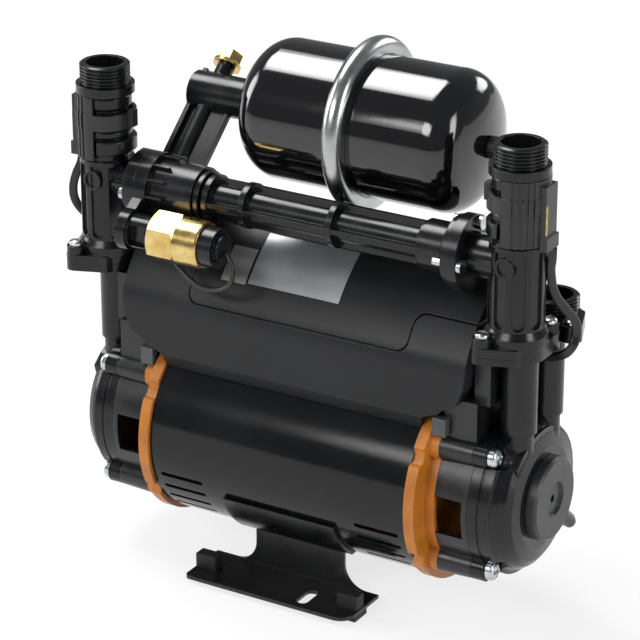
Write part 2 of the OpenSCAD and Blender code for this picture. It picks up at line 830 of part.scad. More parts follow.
// The round cap that closes the end of the pump body, with a dished middle and a hex recess
module end_cap() {
  x0 = dome_end - 1 + seat_gap;
  dish_r = end_cap_r * 0.38;
  color("#2b2c2f") difference() {
    shaft_revolve([
      [dome_end - 3.6, 0], [dome_end - 3.6, end_cap_r - 3 - seat_gap],
      [x0, end_cap_r - 3 - seat_gap], [x0, end_cap_r], [pump_end - 1.2, end_cap_r],
      [pump_end, end_cap_r - 1.4], [pump_end, dish_r + 0.8], [pump_end - 1.6, dish_r],
      [pump_end - 1.6, 0]
    ]);
    translate([pump_end - 3.6, 0, shaft_h]) rotate([0, quarter, 0])
      cylinder(h = 3, r = 2.3, $fn = 6);
  }
}

module left_end_cap() {
  mirrored(-1) end_cap();
}

module right_end_cap() {
  end_cap();
}

module body_seals() {
  color("#141415") for (side = [-1, 1]) mirrored(side) difference() {
    bar_x(bracket_end + seat_gap, bracket_end + seal_groove - seat_gap, 0, shaft_h, seal_out_r);
    bar_x(bracket_end - overrun, bracket_end + seal_groove + overrun, 0, shaft_h, backplate_r);
  }
}

module pump_screws() {
  seat = bracket_end + ear_len;
  slot_half = screw_head_r * 0.62;
  color("#c8cbce") for (side = [-1, 1]) mirrored(side)
    at_screws() difference() {
      union() {
        bar_x(screw_end_x, seat + overrun, 0, 0, screw_d / 2);
        bar_x(seat + seat_gap, seat + screw_head_h, 0, 0, screw_head_r);
      }
      for (k = [0, 1]) rotate([45 + k * quarter, 0, 0])
        translate([seat + screw_head_h * 0.55, -slot_half, -screw_d * 0.1])
          cube([screw_head_h, 2 * slot_half, screw_d * 0.2]);
    }
}

// Profile of the cover across the shaft, drawn in from its outside by w
module cover_profile(w) {
  intersection() {
    polygon([
      [-cover_front + 4 + w, shaft_h + 38], [-cover_front + w, shaft_h + 47],
      [-cover_front + w, ridge_z + overrun], [cover_back - w, ridge_z + overrun],
      [cover_back - w, shaft_h + 47], [cover_back - 4 - w, shaft_h + 38]
    ]);
    translate([-cover_front - overrun, 0])
      square([cover_front + cover_back + 2 * overrun, ridge_z - w]);
    shoulder(w);
    translate([2 * ridge_y, 0]) mirror([1, 0]) shoulder(w);
  }
}

// The circle that meets the front face at the shoulder and the ridge at its edge
function shoulder_mid() = [(-cover_front + ridge_y - ridge_half) / 2, (shoulder_foot + ridge_z) / 2];
function shoulder_chord() = [ridge_y - ridge_half + cover_front, ridge_z - shoulder_foot];
function shoulder_centre() =
  let (c = shoulder_chord(), h = norm(c) / 2, n = [c[1], -c[0]] / norm(c))
  shoulder_mid() + n * sqrt(shoulder_r * shoulder_r - h * h);

// A smaller circle eases the front face into the shoulder
function fillet_centre() =
  let (c = shoulder_centre(), y = -cover_front + cover_fillet, d = shoulder_r - cover_fillet)
  [y, c[1] + sqrt(d * d - (y - c[0]) * (y - c[0]))];

module shoulder(w) {
  c = shoulder_centre();
  f = fillet_centre();
  low = [-cover_front + w, f[1]];
  high = f + (cover_fillet - w) * unit(f - c);
  reach = 4 * shoulder_r;
  start = low - reach * unit(high - low);
  end = high + reach * unit(high - low);
  intersection() {
    translate(c) circle(r = shoulder_r - w);
    union() {
      translate(f) circle(r = cover_fillet - w);
      polygon([start, end, end + [2 * reach, 0], start + [2 * reach, 0]]);
    }
  }
}

// Outline of the cover seen from the front, drawn in by w at its ends
module cover_outline(w) {
  e = cover_half - w;
  k = casing_end + 1.5;
  low = shaft_h + 36;
  polygon([
    [-e, ridge_z + overrun], [e, ridge_z + overrun], [e, shaft_h + 76], [e - 1, shaft_h + 66],
    [e - 5, shaft_h + 57], [e - 12, shaft_h + 53.5], [k + 8 - w, shaft_h + 50.5],
    [k - w, shaft_h + 47.5], [k - 3 - w, low], [-k + 3 + w, low], [-k + w, shaft_h + 47.5],
    [-k - 8 + w, shaft_h + 50.5], [-e + 12, shaft_h + 53.5], [-e + 5, shaft_h + 57],
    [-e + 1, shaft_h + 66], [-e, shaft_h + 76]
  ]);
}

module cover_block(w) {
  intersection() {
    translate([-cover_half - overrun, 0, 0]) along_x()
      linear_extrude(height = 2 * cover_half + 2 * overrun) cover_profile(w);
    translate([0, cover_back + overrun, 0]) rotate([quarter, 0, 0])
      linear_extrude(height = cover_front + cover_back + 2 * overrun) cover_outline(w);
  }
}

// The whole shell: open underneath, where it rests on the casing and the brackets
module cover_shell() {
  difference() {
    cover_block(0);
    cover_block(cover_wall);
    bar_x(-casing_end - overrun, casing_end + overrun, 0, shaft_h, motor_r + cover_gap);
    for (side = [-1, 1]) mirrored(side) {
      bar_x(casing_end, plate_end + 1, 0, shaft_h, motor_r + rim_proud + cover_gap);
      translate([plate_end, -deck_y - cover_gap, deck_foot - overrun])
        cube([cover_half, 2 * (deck_y + cover_gap), deck_z - deck_foot + overrun + cover_gap]);
    }
  }
}

// Outline of the lid seen from the front, grown by g
module lid_outline(g) {
  top = ridge_z + overrun;
  foot = lid_foot - g;
  left = lid_left - g;
  right = lid_right + g;
  step = lid_foot + lid_step;
  difference() {
    union() {
      translate([left + lid_r, foot]) square([right - left - 2 * lid_r, top - foot]);
      translate([left, foot + lid_r]) square([right - left, top - foot - lid_r]);
      translate([left + lid_r, foot + lid_r]) circle(r = lid_r);
      translate([right - lid_r, foot + lid_r]) circle(r = lid_r);
      translate([right - overrun, step - g])
        square([cover_half - right + 2 * overrun, top - step + g]);
      translate([right - overrun, step - g - lid_r]) square([lid_r + overrun, lid_r + overrun]);
    }
    translate([right + lid_r, step - g - lid_r]) circle(r = lid_r);
  }
}

module lid_block(g) {
  translate([0, cover_back + overrun, 0]) rotate([quarter, 0, 0])
    linear_extrude(height = cover_front + cover_back + 2 * overrun) lid_outline(g);
}

module motor_cover() {
  color("#3a3d41") difference() {
    cover_shell();
    lid_block(seam / 2);
  }
}

module cover_lid() {
  color("#3a3d41") intersection() {
    cover_shell();
    lid_block(-seam / 2);
  }
}

module cover_clips() {
  clip = [7.5, 4.2, 9.6];
  z = shaft_h + screw_y + tube_root_r + 0.2;
  color("#6d7074") for (side = [-1, 1]) mirrored(side) for (s = [-1, 1])
    translate([plate_end + 1, s > 0 ? deck_y + 0.1 : -deck_y - 0.1 - clip[1], z])
      cube(clip);
}

// The board stands on four posts on top of the casing
board_z = shaft_h + motor_r + 7;
board_t = 1.6;
board_len = motor_len * 0.72;
board_w = 50;

module control_board() {
  post_y = board_w / 2 - 8;
  post_r = 2.5;
  post_foot = shaft_h + sqrt(motor_r * motor_r - pow(post_y - post_r, 2)) + 0.1;
  color("#2f6b3c") union() {
    translate([-board_len / 2, -board_w / 2, board_z]) cube([board_len, board_w, board_t]);
    for (x = [-1, 1]) for (y = [-1, 1])
      translate([x * (board_len / 2 - 6), y * post_y, post_foot])
        cylinder(h = board_z - post_foot + overrun / 2, r = post_r);
    translate([-board_len * 0.4, -board_w * 0.4, board_z]) cube([18, 15, 14]);
    translate([-board_len * 0.2, -board_w * 0.4, board_z]) cube([22, 12, 17]);
    translate([board_len * 0.1, -board_w * 0.42, board_z]) cube([30, 9, 11]);
    translate([-board_len * 0.4, board_w * 0.2, board_z]) cube([9, 9, 8]);
  }
}

module run_capacitor() {
  r = 14;
  y = board_w / 2 - r;
  color("#d8d5cc") bar_x(-board_len * 0.25, board_len * 0.35, y + 2, board_z + board_t + r + 0.1, r);
}

// Bare rating labels on the lid's curved shoulder, one large and one small
module rating_label() {
  c = shoulder_centre();
  t = 0.3;
  color("#b9bcbf") for (spec = [[-30, 54, 19, 30], [-46, 14.5, 18, 20]])
    translate([spec[0], c[0], c[1]]) rotate([quarter, 0, quarter])
      rotate([0, 0, label_start() - spec[2] / shoulder_r * half_turn / PI - label_turn(spec[3])])
        arc_plate(shoulder_r + seat_gap, t, spec[1], label_turn(spec[3]));
}

// Direction of the shoulder's foot from the circle's centre, and the turn of a length on it
function label_start() =
  let (v = [-cover_front, shoulder_foot] - shoulder_centre()) atan2(v[1], v[0]);
function label_turn(len) = len / shoulder_r * half_turn / PI;

module arc_plate(r, t, w, turn) {
  rotate_extrude(angle = turn, $fn = 96) translate([r, 0]) square([t, w]);
}

// A pipe thread as a stack of crests, with its foot at z
module thread(z, turns) {
  root = thread_r - thread_pitch * 0.55;
  points = [for (i = [0 : turns - 1]) let (b = z + i * thread_pitch) each [
    [root, b], [thread_r, b + thread_pitch * 0.34], [thread_r, b + thread_pitch * 0.62],
    [root, b + thread_pitch * 0.96]
  ]];
  top = z + turns * thread_pitch;
  rotate_extrude() polygon(concat([[0, z]], points, [[root, top], [0, top]]));
}

module tower_windows() {
  z0 = flange_top + base_len + 5;
  h = waist_z - z0 - 2.5;
  for (i = [0 : window_count - 1]) rotate([0, 0, (i + 0.5) * full_turn / window_count])
    translate([lower_r - window_depth, 0, 0]) {
      translate([0, -window_w / 2, z0 + window_w / 2])
        cube([window_depth * 2, window_w, h - window_w / 2]);
      translate([0, 0, z0 + window_w / 2]) rotate([0, quarter, 0])
        cylinder(h = window_depth * 2, r = window_w / 2);
    }
}

// An outlet tower: flange, ribbed lower body, waist, beaded core, collar and thread
module tower(side) {
  flange_x = side > 0 ? tower_flange_x : left_flange_x;
  flange_t = side > 0 ? tower_flange_t : left_flange_t;
  ring_r = side > 0 ? flange_r : left_flange_r;
  rib_r = (side > 0 ? manifold_screw_circle : left_screw_circle) - manifold_head_r - 0.4;
  color("#242528") difference() {
    union() {
      translate([pipe_x, 0, joint_z]) front_lozenge(side, port_flange_t);
      front_screw_places(side, joint_z + overrun)
        cylinder(h = front_boss_top - joint_z - overrun, r = boss_r - 0.3);
      translate([pipe_x, -pipe_y, joint_z - spigot_len])
        cylinder(h = spigot_len + overrun, r = spigot_r);
      translate([pipe_x, -port_y, 0]) tower_core();
      translate([0, -port_y, tube_z]) {
        bar_x(flange_x - flange_t, pipe_x, 0, 0, branch_r);
        bar_x(flange_x - flange_t, flange_x, 0, 0, ring_r);
        for (a = [0, quarter]) rotate([a, 0, 0])
          translate([flange_x - overrun, -rib_r, -branch_rib_t / 2])
            cube([pipe_x - flange_x, 2 * rib_r, branch_rib_t]);
      }
    }
    translate([pipe_x, -port_y, seat_z]) cylinder(h = tower_top, r = port_bore_r);
    translate([pipe_x, -port_y, flange_top - overrun]) cylinder(h = tower_h, r = seat_bore_r);
    translate([pipe_x, (-port_y - pipe_y) / 2, joint_z - spigot_len - overrun])
      cylinder(h = spigot_len + port_flange_t + overrun, r = spigot_r - 3.6);
    bar_x(flange_x - flange_t - overrun, pipe_x, -port_y, tube_z, tube_bore);
    front_screw_places(side, joint_z - overrun) cylinder(h = tower_h, r = port_screw_r);
    front_screw_places(side, front_boss_top) cylinder(h = 8, r = port_head_r + 0.4);
    screw_ring(side) bar_x(flange_x - flange_t - overrun, flange_x + overrun, 0, 0, manifold_screw_r);
  }
}

module tower_core() {
  foot_z = flange_top + base_len;
  difference() {
    union() {
      translate([0, 0, flange_top - overrun / 2]) cylinder(h = base_len + overrun, r = base_r);
      translate([0, 0, foot_z]) cylinder(h = 4, r1 = base_r, r2 = lower_r);
      translate([0, 0, foot_z]) cylinder(h = waist_z - foot_z, r = lower_r);
    }
    tower_windows();
  }
  translate([0, 0, tube_z + 1.4]) rotate([quarter, 0, 0]) difference() {
    cylinder(h = lower_r + 0.5, r = front_boss_r);
    translate([0, 0, lower_r - 0.7]) cylinder(h = 3, r = front_boss_r - 1.5);
  }
  translate([0, 0, waist_z - overrun])
    cylinder(h = collar_foot - waist_z + 2 * overrun, r = core_r);
  bead(ring_top, low_bead_top);
  bead(high_bead_foot, collar_foot);
  translate([0, 0, ring_foot]) rotate([0, 0, half_turn - ring_wrap / 2])
    rotate_extrude(angle = ring_wrap) polygon([
      [core_r - overrun, 0], [sleeve_r - 0.4, 0], [sleeve_r + 0.4, 0.8],
      [sleeve_r + 0.4, ring_top - ring_foot - 0.8], [sleeve_r - 0.4, ring_top - ring_foot],
      [core_r - overrun, ring_top - ring_foot]
    ]);
  translate([0, 0, collar_foot]) cylinder(h = collar_len, r = collar_r);
  thread(thread_foot, thread_turns);
}

module bead(z0, z1) {
  h = z1 - z0;
  translate([0, 0, z0]) rotate_extrude() polygon([
    [0, 0], [core_r + 0.2, 0], [bead_r, 1.5], [bead_r, h - 1.5], [core_r + 0.2, h], [0, h]
  ]);
}

// The screws that hold each branch flange, spaced round the cross tube's axis
module screw_ring(side) {
  r = side > 0 ? manifold_screw_circle : left_screw_circle;
  for (a = manifold_screws_at)
    translate([0, -port_y + r * cos(a), tube_z + r * sin(a)]) children();
}

module left_tower() {
  mirrored(-1) tower(-1);
}

module right_tower() {
  tower(1);
}

module port_seals() {
  r = spigot_r - 1.6;
  color("#131314") for (side = [-1, 1]) mirrored(side) for (s = [-1, 1])
    translate([pipe_x, s * pipe_y, joint_z - spigot_len - 1.6])
      difference() {
        cylinder(h = 1.5, r = pipe_bore_r - seat_gap);
        translate([0, 0, -overrun]) cylinder(h = 1.5 + 2 * overrun, r = r - 1.4);
      }
}

module port_screws() {
  color("#d0d2d4") for (side = [-1, 1]) mirrored(side) {
    front_screw_places(side, front_boss_top) port_screw(front_boss_top);
    rear_screw_places(flange_top) port_screw(flange_top);
  }
}

// A pan head screw whose head sits at seat and whose end is in the pump body's flange
module port_screw(seat) {
  rim_h = 1.4;
  crown_h = 1.3;
  difference() {
    union() {
      translate([0, 0, pipe_top + 0.3 - seat])
        cylinder(h = seat - pipe_top + overrun / 2, r = port_screw_r - seat_gap);
      translate([0, 0, seat_gap]) cylinder(h = rim_h, r = port_head_r);
      translate([0, 0, seat_gap + rim_h])
        cylinder(h = crown_h, r1 = port_head_r, r2 = port_head_r * 0.62);
    }
    translate([0, 0, rim_h + 0.2]) cross_recess(port_head_r * 0.55);
  }
}

module cross_recess(r) {
  for (a = [0, quarter]) rotate([0, 0, a])
    translate([-r, -r / 5, 0]) cube([2 * r, r / 2.5, 2]);
}

// The sensor sleeve: half a collar held round the tower by a hoop with a catch, and a
// flat box outside that holds the sensor
module sensor_sleeve() {
  h = sleeve_top - sleeve_foot;
  catch_size = [3.4, 5, 9];
  color("#1f2022") translate([pipe_x, -port_y, 0]) difference() {
    union() {
      translate([0, 0, sleeve_foot]) rotate([0, 0, -sleeve_wrap / 2])
        rotate_extrude(angle = sleeve_wrap) translate([sleeve_bore, 0])
          square([sleeve_r - sleeve_bore, h]);
      translate([0, 0, hoop_foot]) rotate_extrude() translate([sleeve_bore, 0])
        square([sleeve_r + 0.4 - sleeve_bore, hoop_top - hoop_foot]);
      translate([sleeve_bore + 0.6, -housing_half, sleeve_foot - 2])
        cube([housing_out - sleeve_bore - 0.6, 2 * housing_half, h - 1]);
      translate([sleeve_r - overrun, -housing_half - 0.4, sleeve_foot - 2])
        cube([housing_out - sleeve_r + housing_lip + overrun, 2 * housing_half + 0.8,
          core_len * 0.2]);
      translate([-sleeve_r - catch_size[0] + 0.8, -catch_size[1] / 2, hoop_foot + 1])
        cube(catch_size);
    }
    translate([0, 0, waist_z - overrun]) cylinder(h = overrun + 0.4, r = lower_r + 0.3);
    for (a = [-74, -62, -50, -38, 38, 50, 62, 74]) rotate([0, 0, a])
      translate([sleeve_r - 0.6, -0.9, sleeve_foot - overrun]) cube([2, 1.8, h + 2 * overrun]);
  }
}

module left_sensor_sleeve() {
  mirrored(-1) sensor_sleeve();
}

module right_sensor_sleeve() {
  sensor_sleeve();
}

module left_sensor_lead() {
  color("#1b1c1e") lead(left_lead_route, lead_w / 2, lead_face, lead_t / lead_w);
}

module right_sensor_lead() {
  color("#1b1c1e") lead(right_lead_route, lead_w / 2, lead_face, lead_t / lead_w);
}

// The float rests on the seat in the tower and carries a magnet past the sensor
module flow_float() {
  z0 = seat_z + 0.3;
  color("#c7c3b4") translate([pipe_x, -port_y, 0]) difference() {
    union() {
      translate([0, 0, z0]) cylinder(h = 2.4, r = float_r);
      translate([0, 0, z0 + 2.4]) cylinder(h = float_len - 2.4, r = float_r - 2.2);
      translate([0, 0, z0 + float_len - 2.6]) cylinder(h = 2.6, r = float_r);
      translate([0, 0, z0 + float_len - overrun])
        cylinder(h = stem_len + float_lift + overrun, r = stem_r);
    }
    translate([0, 0, z0 + 4 - seat_gap])
      cylinder(h = magnet_len + 2 * seat_gap, r = magnet_r + seat_gap);
  }
}

module float_magnet() {
  color("#55575b") translate([pipe_x, -port_y, seat_z + 0.3 + 4]) cylinder(h = magnet_len, r = magnet_r);
}

module left_flow_float() {
  mirrored(-1) flow_float();
}

module right_flow_float() {
  flow_float();
}

module left_float_magnet() {
  mirrored(-1) float_magnet();
}

module right_float_magnet() {
  float_magnet();
}

// A spoked ring in each tower keeps the float's stem central
module float_guides() {
  color("#2e2f32") for (side = [-1, 1]) mirrored(side)
    translate([pipe_x, -port_y, guide_z + 0.3]) linear_extrude(height = guide_t)
      difference() {
        union() {
          difference() {
            circle(r = port_bore_r - seat_gap);
            circle(r = port_bore_r - 1.6);
          }
          circle(r = stem_r + 1.6);
          for (a = [0, 60, 120]) rotate(a) square([2 * port_bore_r - 2, 1.6], center = true);
        }
        circle(r = stem_r + 0.3);
      }
}

// An inlet port: flange, short neck and thread, open right through
module inlet_port() {
  color("#242528") difference() {
    union() {
      translate([pipe_x, 0, joint_z]) rear_lozenge(port_flange_t);
      translate([pipe_x, pipe_y, joint_z - spigot_len])
        cylinder(h = spigot_len + overrun, r = spigot_r);
      translate([pipe_x, port_y, joint_z + overrun])
        cylinder(h = port_flange_t + thread_pitch, r = thread_r - 1);
      translate([pipe_x, port_y, 0]) thread(flange_top + 0.3 + thread_pitch, thread_turns - 2);
    }
    translate([pipe_x, port_y, joint_z + port_flange_t * 0.4])
      cylinder(h = thread_len + port_flange_t, r = port_bore_r);
    translate([pipe_x, (port_y + pipe_y) / 2, joint_z - spigot_len - overrun])
      cylinder(h = spigot_len + port_flange_t + overrun, r = spigot_r - 3.6);
    rear_screw_places(joint_z - overrun) cylinder(h = tower_h, r = port_screw_r);
    rear_screw_places(flange_top) cylinder(h = 8, r = port_head_r + 0.4);
  }
}

module left_inlet_port() {
  mirrored(-1) inlet_port();
}

module right_inlet_port() {
  inlet_port();
}

// The cross tube: a ribbed pipe, plugged into the arm's sleeve and bolted at the right
module cross_tube() {
  spigot_start = sleeve_end_x - spigot_in;
  rib_start = sleeve_end_x + 8;
  rib_end = tube_right - 19;
  color("#26282b") translate([0, -port_y, tube_z]) difference() {
    union() {
      bar_x(spigot_start, tube_right - seat_gap, 0, 0, tube_r);
      bar_x(sleeve_end_x + 0.3, sleeve_end_x + 3.3, 0, 0, tube_sleeve_r - 1.4);
      bar_x(sleeve_end_x + 5, sleeve_end_x + 8, 0, 0, tube_sleeve_r - 2.4);
      for (a = [0, quarter]) rotate([a, 0, 0])
        translate([rib_start - overrun, -tube_rib_r, -rib_t / 2])
          cube([rib_end - rib_start + 2 * overrun, 2 * tube_rib_r, rib_t]);
      for (i = [0 : 2]) let (x = rib_start + (rib_end - rib_start) * (0.15 + 0.42 * i))
        bar_x(x, x + rib_ring_w, 0, 0, tube_rib_r + 0.4);
      bar_x(rib_end, rib_end + 13, 0, 0, tube_rib_r + 1.2);
      translate([rib_end + 13, 0, 0]) rotate([0, quarter, 0])
        cylinder(h = tube_right - rib_end - 16, r1 = tube_rib_r + 0.4, r2 = flange_r - 3);
      bar_x(tube_right - 3 - overrun / 10, tube_right - seat_gap, 0, 0, flange_r - 1.2);
    }
    bar_x(spigot_start - overrun, tube_right + overrun, 0, 0, tube_bore);
    for (a = manifold_screws_at) rotate([a, 0, 0])
      bar_x(tube_right - 9, tube_right + overrun, manifold_screw_circle, 0, manifold_screw_r);
  }
}

// The vessel's arm: ring and sleeve on the cross tube, stub for the switch, and the
// ribbed arm that carries water up to the vessel
module tank_arm() {
  color("#27292c") difference() {
    union() {
      bar_x(arm_ring_x + seat_gap, sleeve_in_x, -port_y, tube_z, left_flange_r);
      bar_x(sleeve_in_x - overrun, sleeve_end_x, -port_y, tube_z, tube_sleeve_r);
      sleeve_fins();
      switch_stub();
      translate([0, -port_y, tube_z]) rotate([arm_angle, 0, 0]) arm_beam();
      bar_x(arm_left_x, tank_left - 0.3, tank_y, tank_z, arm_boss_r);
    }
    bar_x(arm_ring_x, sleeve_end_x - spigot_in - 1, -port_y, tube_z, tube_bore);
    bar_x(sleeve_end_x - spigot_in - overrun, sleeve_end_x + overrun, -port_y, tube_z,
      tube_r + seat_gap);
    bar_x(tank_left - neck_len - 2, tank_left + overrun, tank_y, tank_z, neck_r + seat_gap);
    bar_x(arm_ring_x + overrun * 3, switch_x + overrun, switch_y, switch_z, 3);
    translate([arm_ring_x + lug_t + 0.8, switch_y - stub_r - overrun, switch_z - stub_r * 0.6])
      cube([switch_x - arm_ring_x - lug_t - 3.4, stub_r * 0.52 + overrun, stub_r * 1.2]);
    screw_places() bar_x(arm_ring_x, arm_ring_x + arm_ring_t - 1, 0, 0, manifold_screw_r);
    translate([0, -port_y, tube_z]) rotate([arm_angle, 0, 0]) {
      translate([ridge_x, tube_sleeve_r * 0.7, 0]) rotate([-quarter, 0, 0])
        cylinder(h = arm_len + plug_seat + overrun, r = 2.4);
      translate([arm_left_x + 4, arm_len + plug_seat - 8, -arm_edge_h])
        cube([ridge_x - ridge_r - arm_left_x - 5, 3, 2 * arm_edge_h]);
    }
  }
}

plug_seat = arm_boss_r + 6;

module screw_places() {
  for (a = manifold_screws_at)
    translate([0, -port_y + left_screw_circle * cos(a), tube_z + left_screw_circle * sin(a)])
      children();
}

module sleeve_fins() {
  for (i = [0 : 11]) translate([0, -port_y, tube_z]) rotate([i * full_turn / 12, 0, 0])
    translate([sleeve_in_x - overrun, -0.7, tube_sleeve_r - overrun])
      cube([tube_sleeve_len * 0.42, 1.4, left_flange_r - tube_sleeve_r + overrun / 2]);
}

module switch_stub() {
  dy = switch_y + port_y;
  dz = switch_z - tube_z;
  d = norm([dy, dz]);
  bar_x(arm_ring_x + seat_gap, arm_ring_x + lug_t, switch_y, switch_z, lug_r);
  translate([arm_ring_x + seat_gap, -port_y, tube_z]) rotate([atan2(dz, dy), 0, 0])
    translate([0, 0, -lug_r * 0.8]) cube([lug_t - seat_gap, d, lug_r * 1.6]);
  bar_x(arm_ring_x + lug_t - overrun, switch_x, switch_y, switch_z, stub_r);
}

// In the arm's own frame: Y runs from the cross tube to the vessel
module arm_beam() {
  top = arm_len + plug_seat;
  start = tube_sleeve_r * 0.6;
  translate([arm_left_x, start, -arm_web_t / 2])
    cube([arm_right_x - arm_left_x, arm_len - start, arm_web_t]);
  translate([arm_left_x, start, -arm_edge_h / 2])
    cube([arm_web_t, top - start - 5, arm_edge_h]);
  translate([arm_right_x - arm_web_t * 0.7, start, -arm_edge_h / 4])
    cube([arm_web_t * 0.7, arm_len - start, arm_edge_h / 2]);
  translate([ridge_x, start, 0]) rotate([-quarter, 0, 0]) cylinder(h = top - start, r = ridge_r);
  translate([arm_left_x, arm_len, -arm_web_t / 2])
    cube([ridge_x - arm_left_x, plug_seat - 5, arm_web_t]);
}

module arm_plug() {
  color("#c9a24b") translate([0, -port_y, tube_z]) rotate([arm_angle, 0, 0])
    translate([ridge_x, arm_len + plug_seat, 0]) rotate([-quarter, 0, 0]) {
      translate([0, 0, -8]) cylinder(h = 8 + overrun, r = 2.4 - seat_gap);
      translate([0, 0, 0.1]) cylinder(h = washer_t, r = washer_r);
      translate([0, 0, washer_t]) cylinder(h = plug_h, r = plug_flats / sqrt(3), $fn = 6);
    }
}

module manifold_screws() {
  head_h = 2.4;
  color("#d0d2d4") {
    screw_ring(1) {
      bar_x(tower_flange_x - tower_flange_t - 8, tower_flange_x + overrun, 0, 0,
        manifold_screw_r - seat_gap);
      bar_x(tower_flange_x + seat_gap, tower_flange_x + head_h, 0, 0, manifold_head_r);
    }
    mirrored(-1) screw_ring(-1) {
      bar_x(left_flange_x - left_flange_t - arm_ring_t + 2, left_flange_x + overrun, 0, 0,
        manifold_screw_r - seat_gap);
      bar_x(left_flange_x + seat_gap, left_flange_x + head_h, 0, 0, manifold_head_r);
    }
  }
}

// The pressure switch: a brass body screwed on the stub, a black cap and its lead
module switch_body() {
  corner_r = switch_flats / sqrt(3);
  face_r = switch_flats / 2 - 0.4;
  bevel = 1.5;
  color("#c9a24b") translate([switch_x, switch_y, switch_z]) difference() {
    union() {
      rotate([0, quarter, 0]) intersection() {
        rotate([0, 0, switch_roll]) translate([0, 0, 0.1])
          cylinder(h = hex_len, r = corner_r, $fn = 6);
        rotate_extrude() polygon([
          [0, 0], [face_r, 0], [corner_r + 0.2, bevel], [corner_r + 0.2, hex_len - bevel],
          [face_r, hex_len + 0.1], [0, hex_len + 0.1]
        ]);
      }
      rotate([0, quarter, 0]) translate([0, 0, hex_len - overrun]) rotate_extrude() polygon([
        [0, 0], [round_r, 0], [round_r, round_len], [round_r - 0.8, round_len + overrun],
        [0, round_len + overrun]
      ]);
    }
    bar_x(-overrun, hex_len * 0.7, 0, 0, 3);
  }
}

switch_roll = 58;

module switch_cap() {
  x0 = switch_x + hex_len + round_len + seat_gap;
  color("#1c1d1f") {
    bar_x(x0, x0 + switch_cap_len, switch_y, switch_z, switch_cap_r);
    bar_x(x0, x0 + switch_cap_len + switch_nose_len, switch_y, switch_z, switch_nose_r);
  }
}

module switch_lead() {
  color("#1b1c1e") lead(switch_lead_route, switch_lead_r, [0, 0, 1], 1);
}

// Half of the vessel, drawn in by w: a crowned end, a round knuckle and a straight side,
// from the middle of the end at 0 to x1 along the vessel
module vessel_outline(w, x1) {
  reach = 2 * crown_r;
  intersection() {
    translate([0, w]) square([tank_r - w, x1 - w]);
    union() {
      translate([0, knuckle_x]) square([tank_r - w, x1 - knuckle_x]);
      translate([tank_r - knuckle_r, knuckle_x]) circle(r = knuckle_r - w);
      intersection() {
        translate([0, crown_r]) circle(r = crown_r - w);
        polygon([[0, crown_r], [0, -overrun],
          [reach * sin(crown_turn), crown_r - reach * cos(crown_turn)]]);
      }
    }
  }
}

module tank_half() {
  edge = tank_len / 2 - rubber_t / 2;
  translate([tank_left, tank_y, tank_z]) rotate([0, quarter, 0]) rotate_extrude() difference() {
    union() {
      vessel_outline(0, edge);
      translate([tank_r - overrun, edge - tank_lip_t])
        square([tank_lip_r - tank_r + overrun, tank_lip_t]);
    }
    vessel_outline(tank_wall, edge + overrun);
  }
}

module tank_left_shell() {
  color("#1d1d1f") difference() {
    union() {
      tank_half();
      bar_x(tank_left - neck_len, tank_left + tank_wall, tank_y, tank_z, neck_r);
    }
    bar_x(tank_left - neck_len - overrun, tank_left + neck_r, tank_y, tank_z, neck_r * 0.5);
  }
}

module tank_right_shell() {
  color("#1d1d1f") difference() {
    union() {
      translate([2 * tank_mid, 0, 0]) mirror([1, 0, 0]) tank_half();
      bar_x(tank_right - tank_wall, tank_right + cap_len * 0.6, tank_y, tank_z, cap_r * 0.5);
    }
    bar_x(tank_right - neck_r, tank_right + cap_len, tank_y, tank_z, cap_r * 0.2);
  }
}

// The rolled steel ring that clamps the two lips of the vessel
module tank_clamp_ring() {
  lip_w = 2 * tank_lip_t + rubber_t + 2 * seat_gap;
  h = clamp_w / 2;
  color("#a9abab") translate([tank_mid, tank_y, tank_z]) rotate([0, quarter, 0])
    rotate_extrude() difference() {
      union() {
        translate([tank_r + 0.15, -h]) square([clamp_r - h - tank_r - 0.15, clamp_w]);
        translate([clamp_r - h, 0]) circle(r = h);
      }
      translate([tank_r + 0.15 - clamp_w, -clamp_w]) square([clamp_w, 2 * clamp_w]);
      translate([tank_r, -lip_w / 2]) square([tank_lip_r + seat_gap - tank_r, lip_w]);
    }
}

module tank_diaphragm() {
  dish = tank_len * 0.22;
  r = tank_r - tank_wall - 1;
  color("#1a1a1a") translate([tank_mid, tank_y, tank_z]) rotate([0, quarter, 0])
    rotate_extrude() polygon([
      [0, dish], [r * 0.6, dish * 0.9], [r * 0.9, dish * 0.5], [r, rubber_t / 2 - seat_gap],
      [tank_lip_r, rubber_t / 2 - seat_gap], [tank_lip_r, -rubber_t / 2 + seat_gap],
      [r - rubber_t, -rubber_t / 2 + seat_gap], [r * 0.9 - rubber_t, dish * 0.5 - rubber_t],
      [r * 0.6 - rubber_t, dish * 0.9 - rubber_t], [0, dish - rubber_t]
    ]);
}

module tank_valve_cap() {
  ribs = 16;
  color("#18191a") difference() {
    union() {
      bar_x(tank_right + 0.3, tank_right + cap_len, tank_y, tank_z, cap_r - 0.5);
      for (i = [0 : ribs - 1]) translate([tank_right + 0.3, tank_y, tank_z])
        rotate([i * full_turn / ribs, 0, 0]) translate([0, -0.4, cap_r - overrun])
          cube([cap_len - overrun, 0.8, overrun]);
    }
    bar_x(tank_right - overrun, tank_right + cap_len * 0.6 + 0.2, tank_y, tank_z,
      cap_r * 0.5 + seat_gap);
  }
}

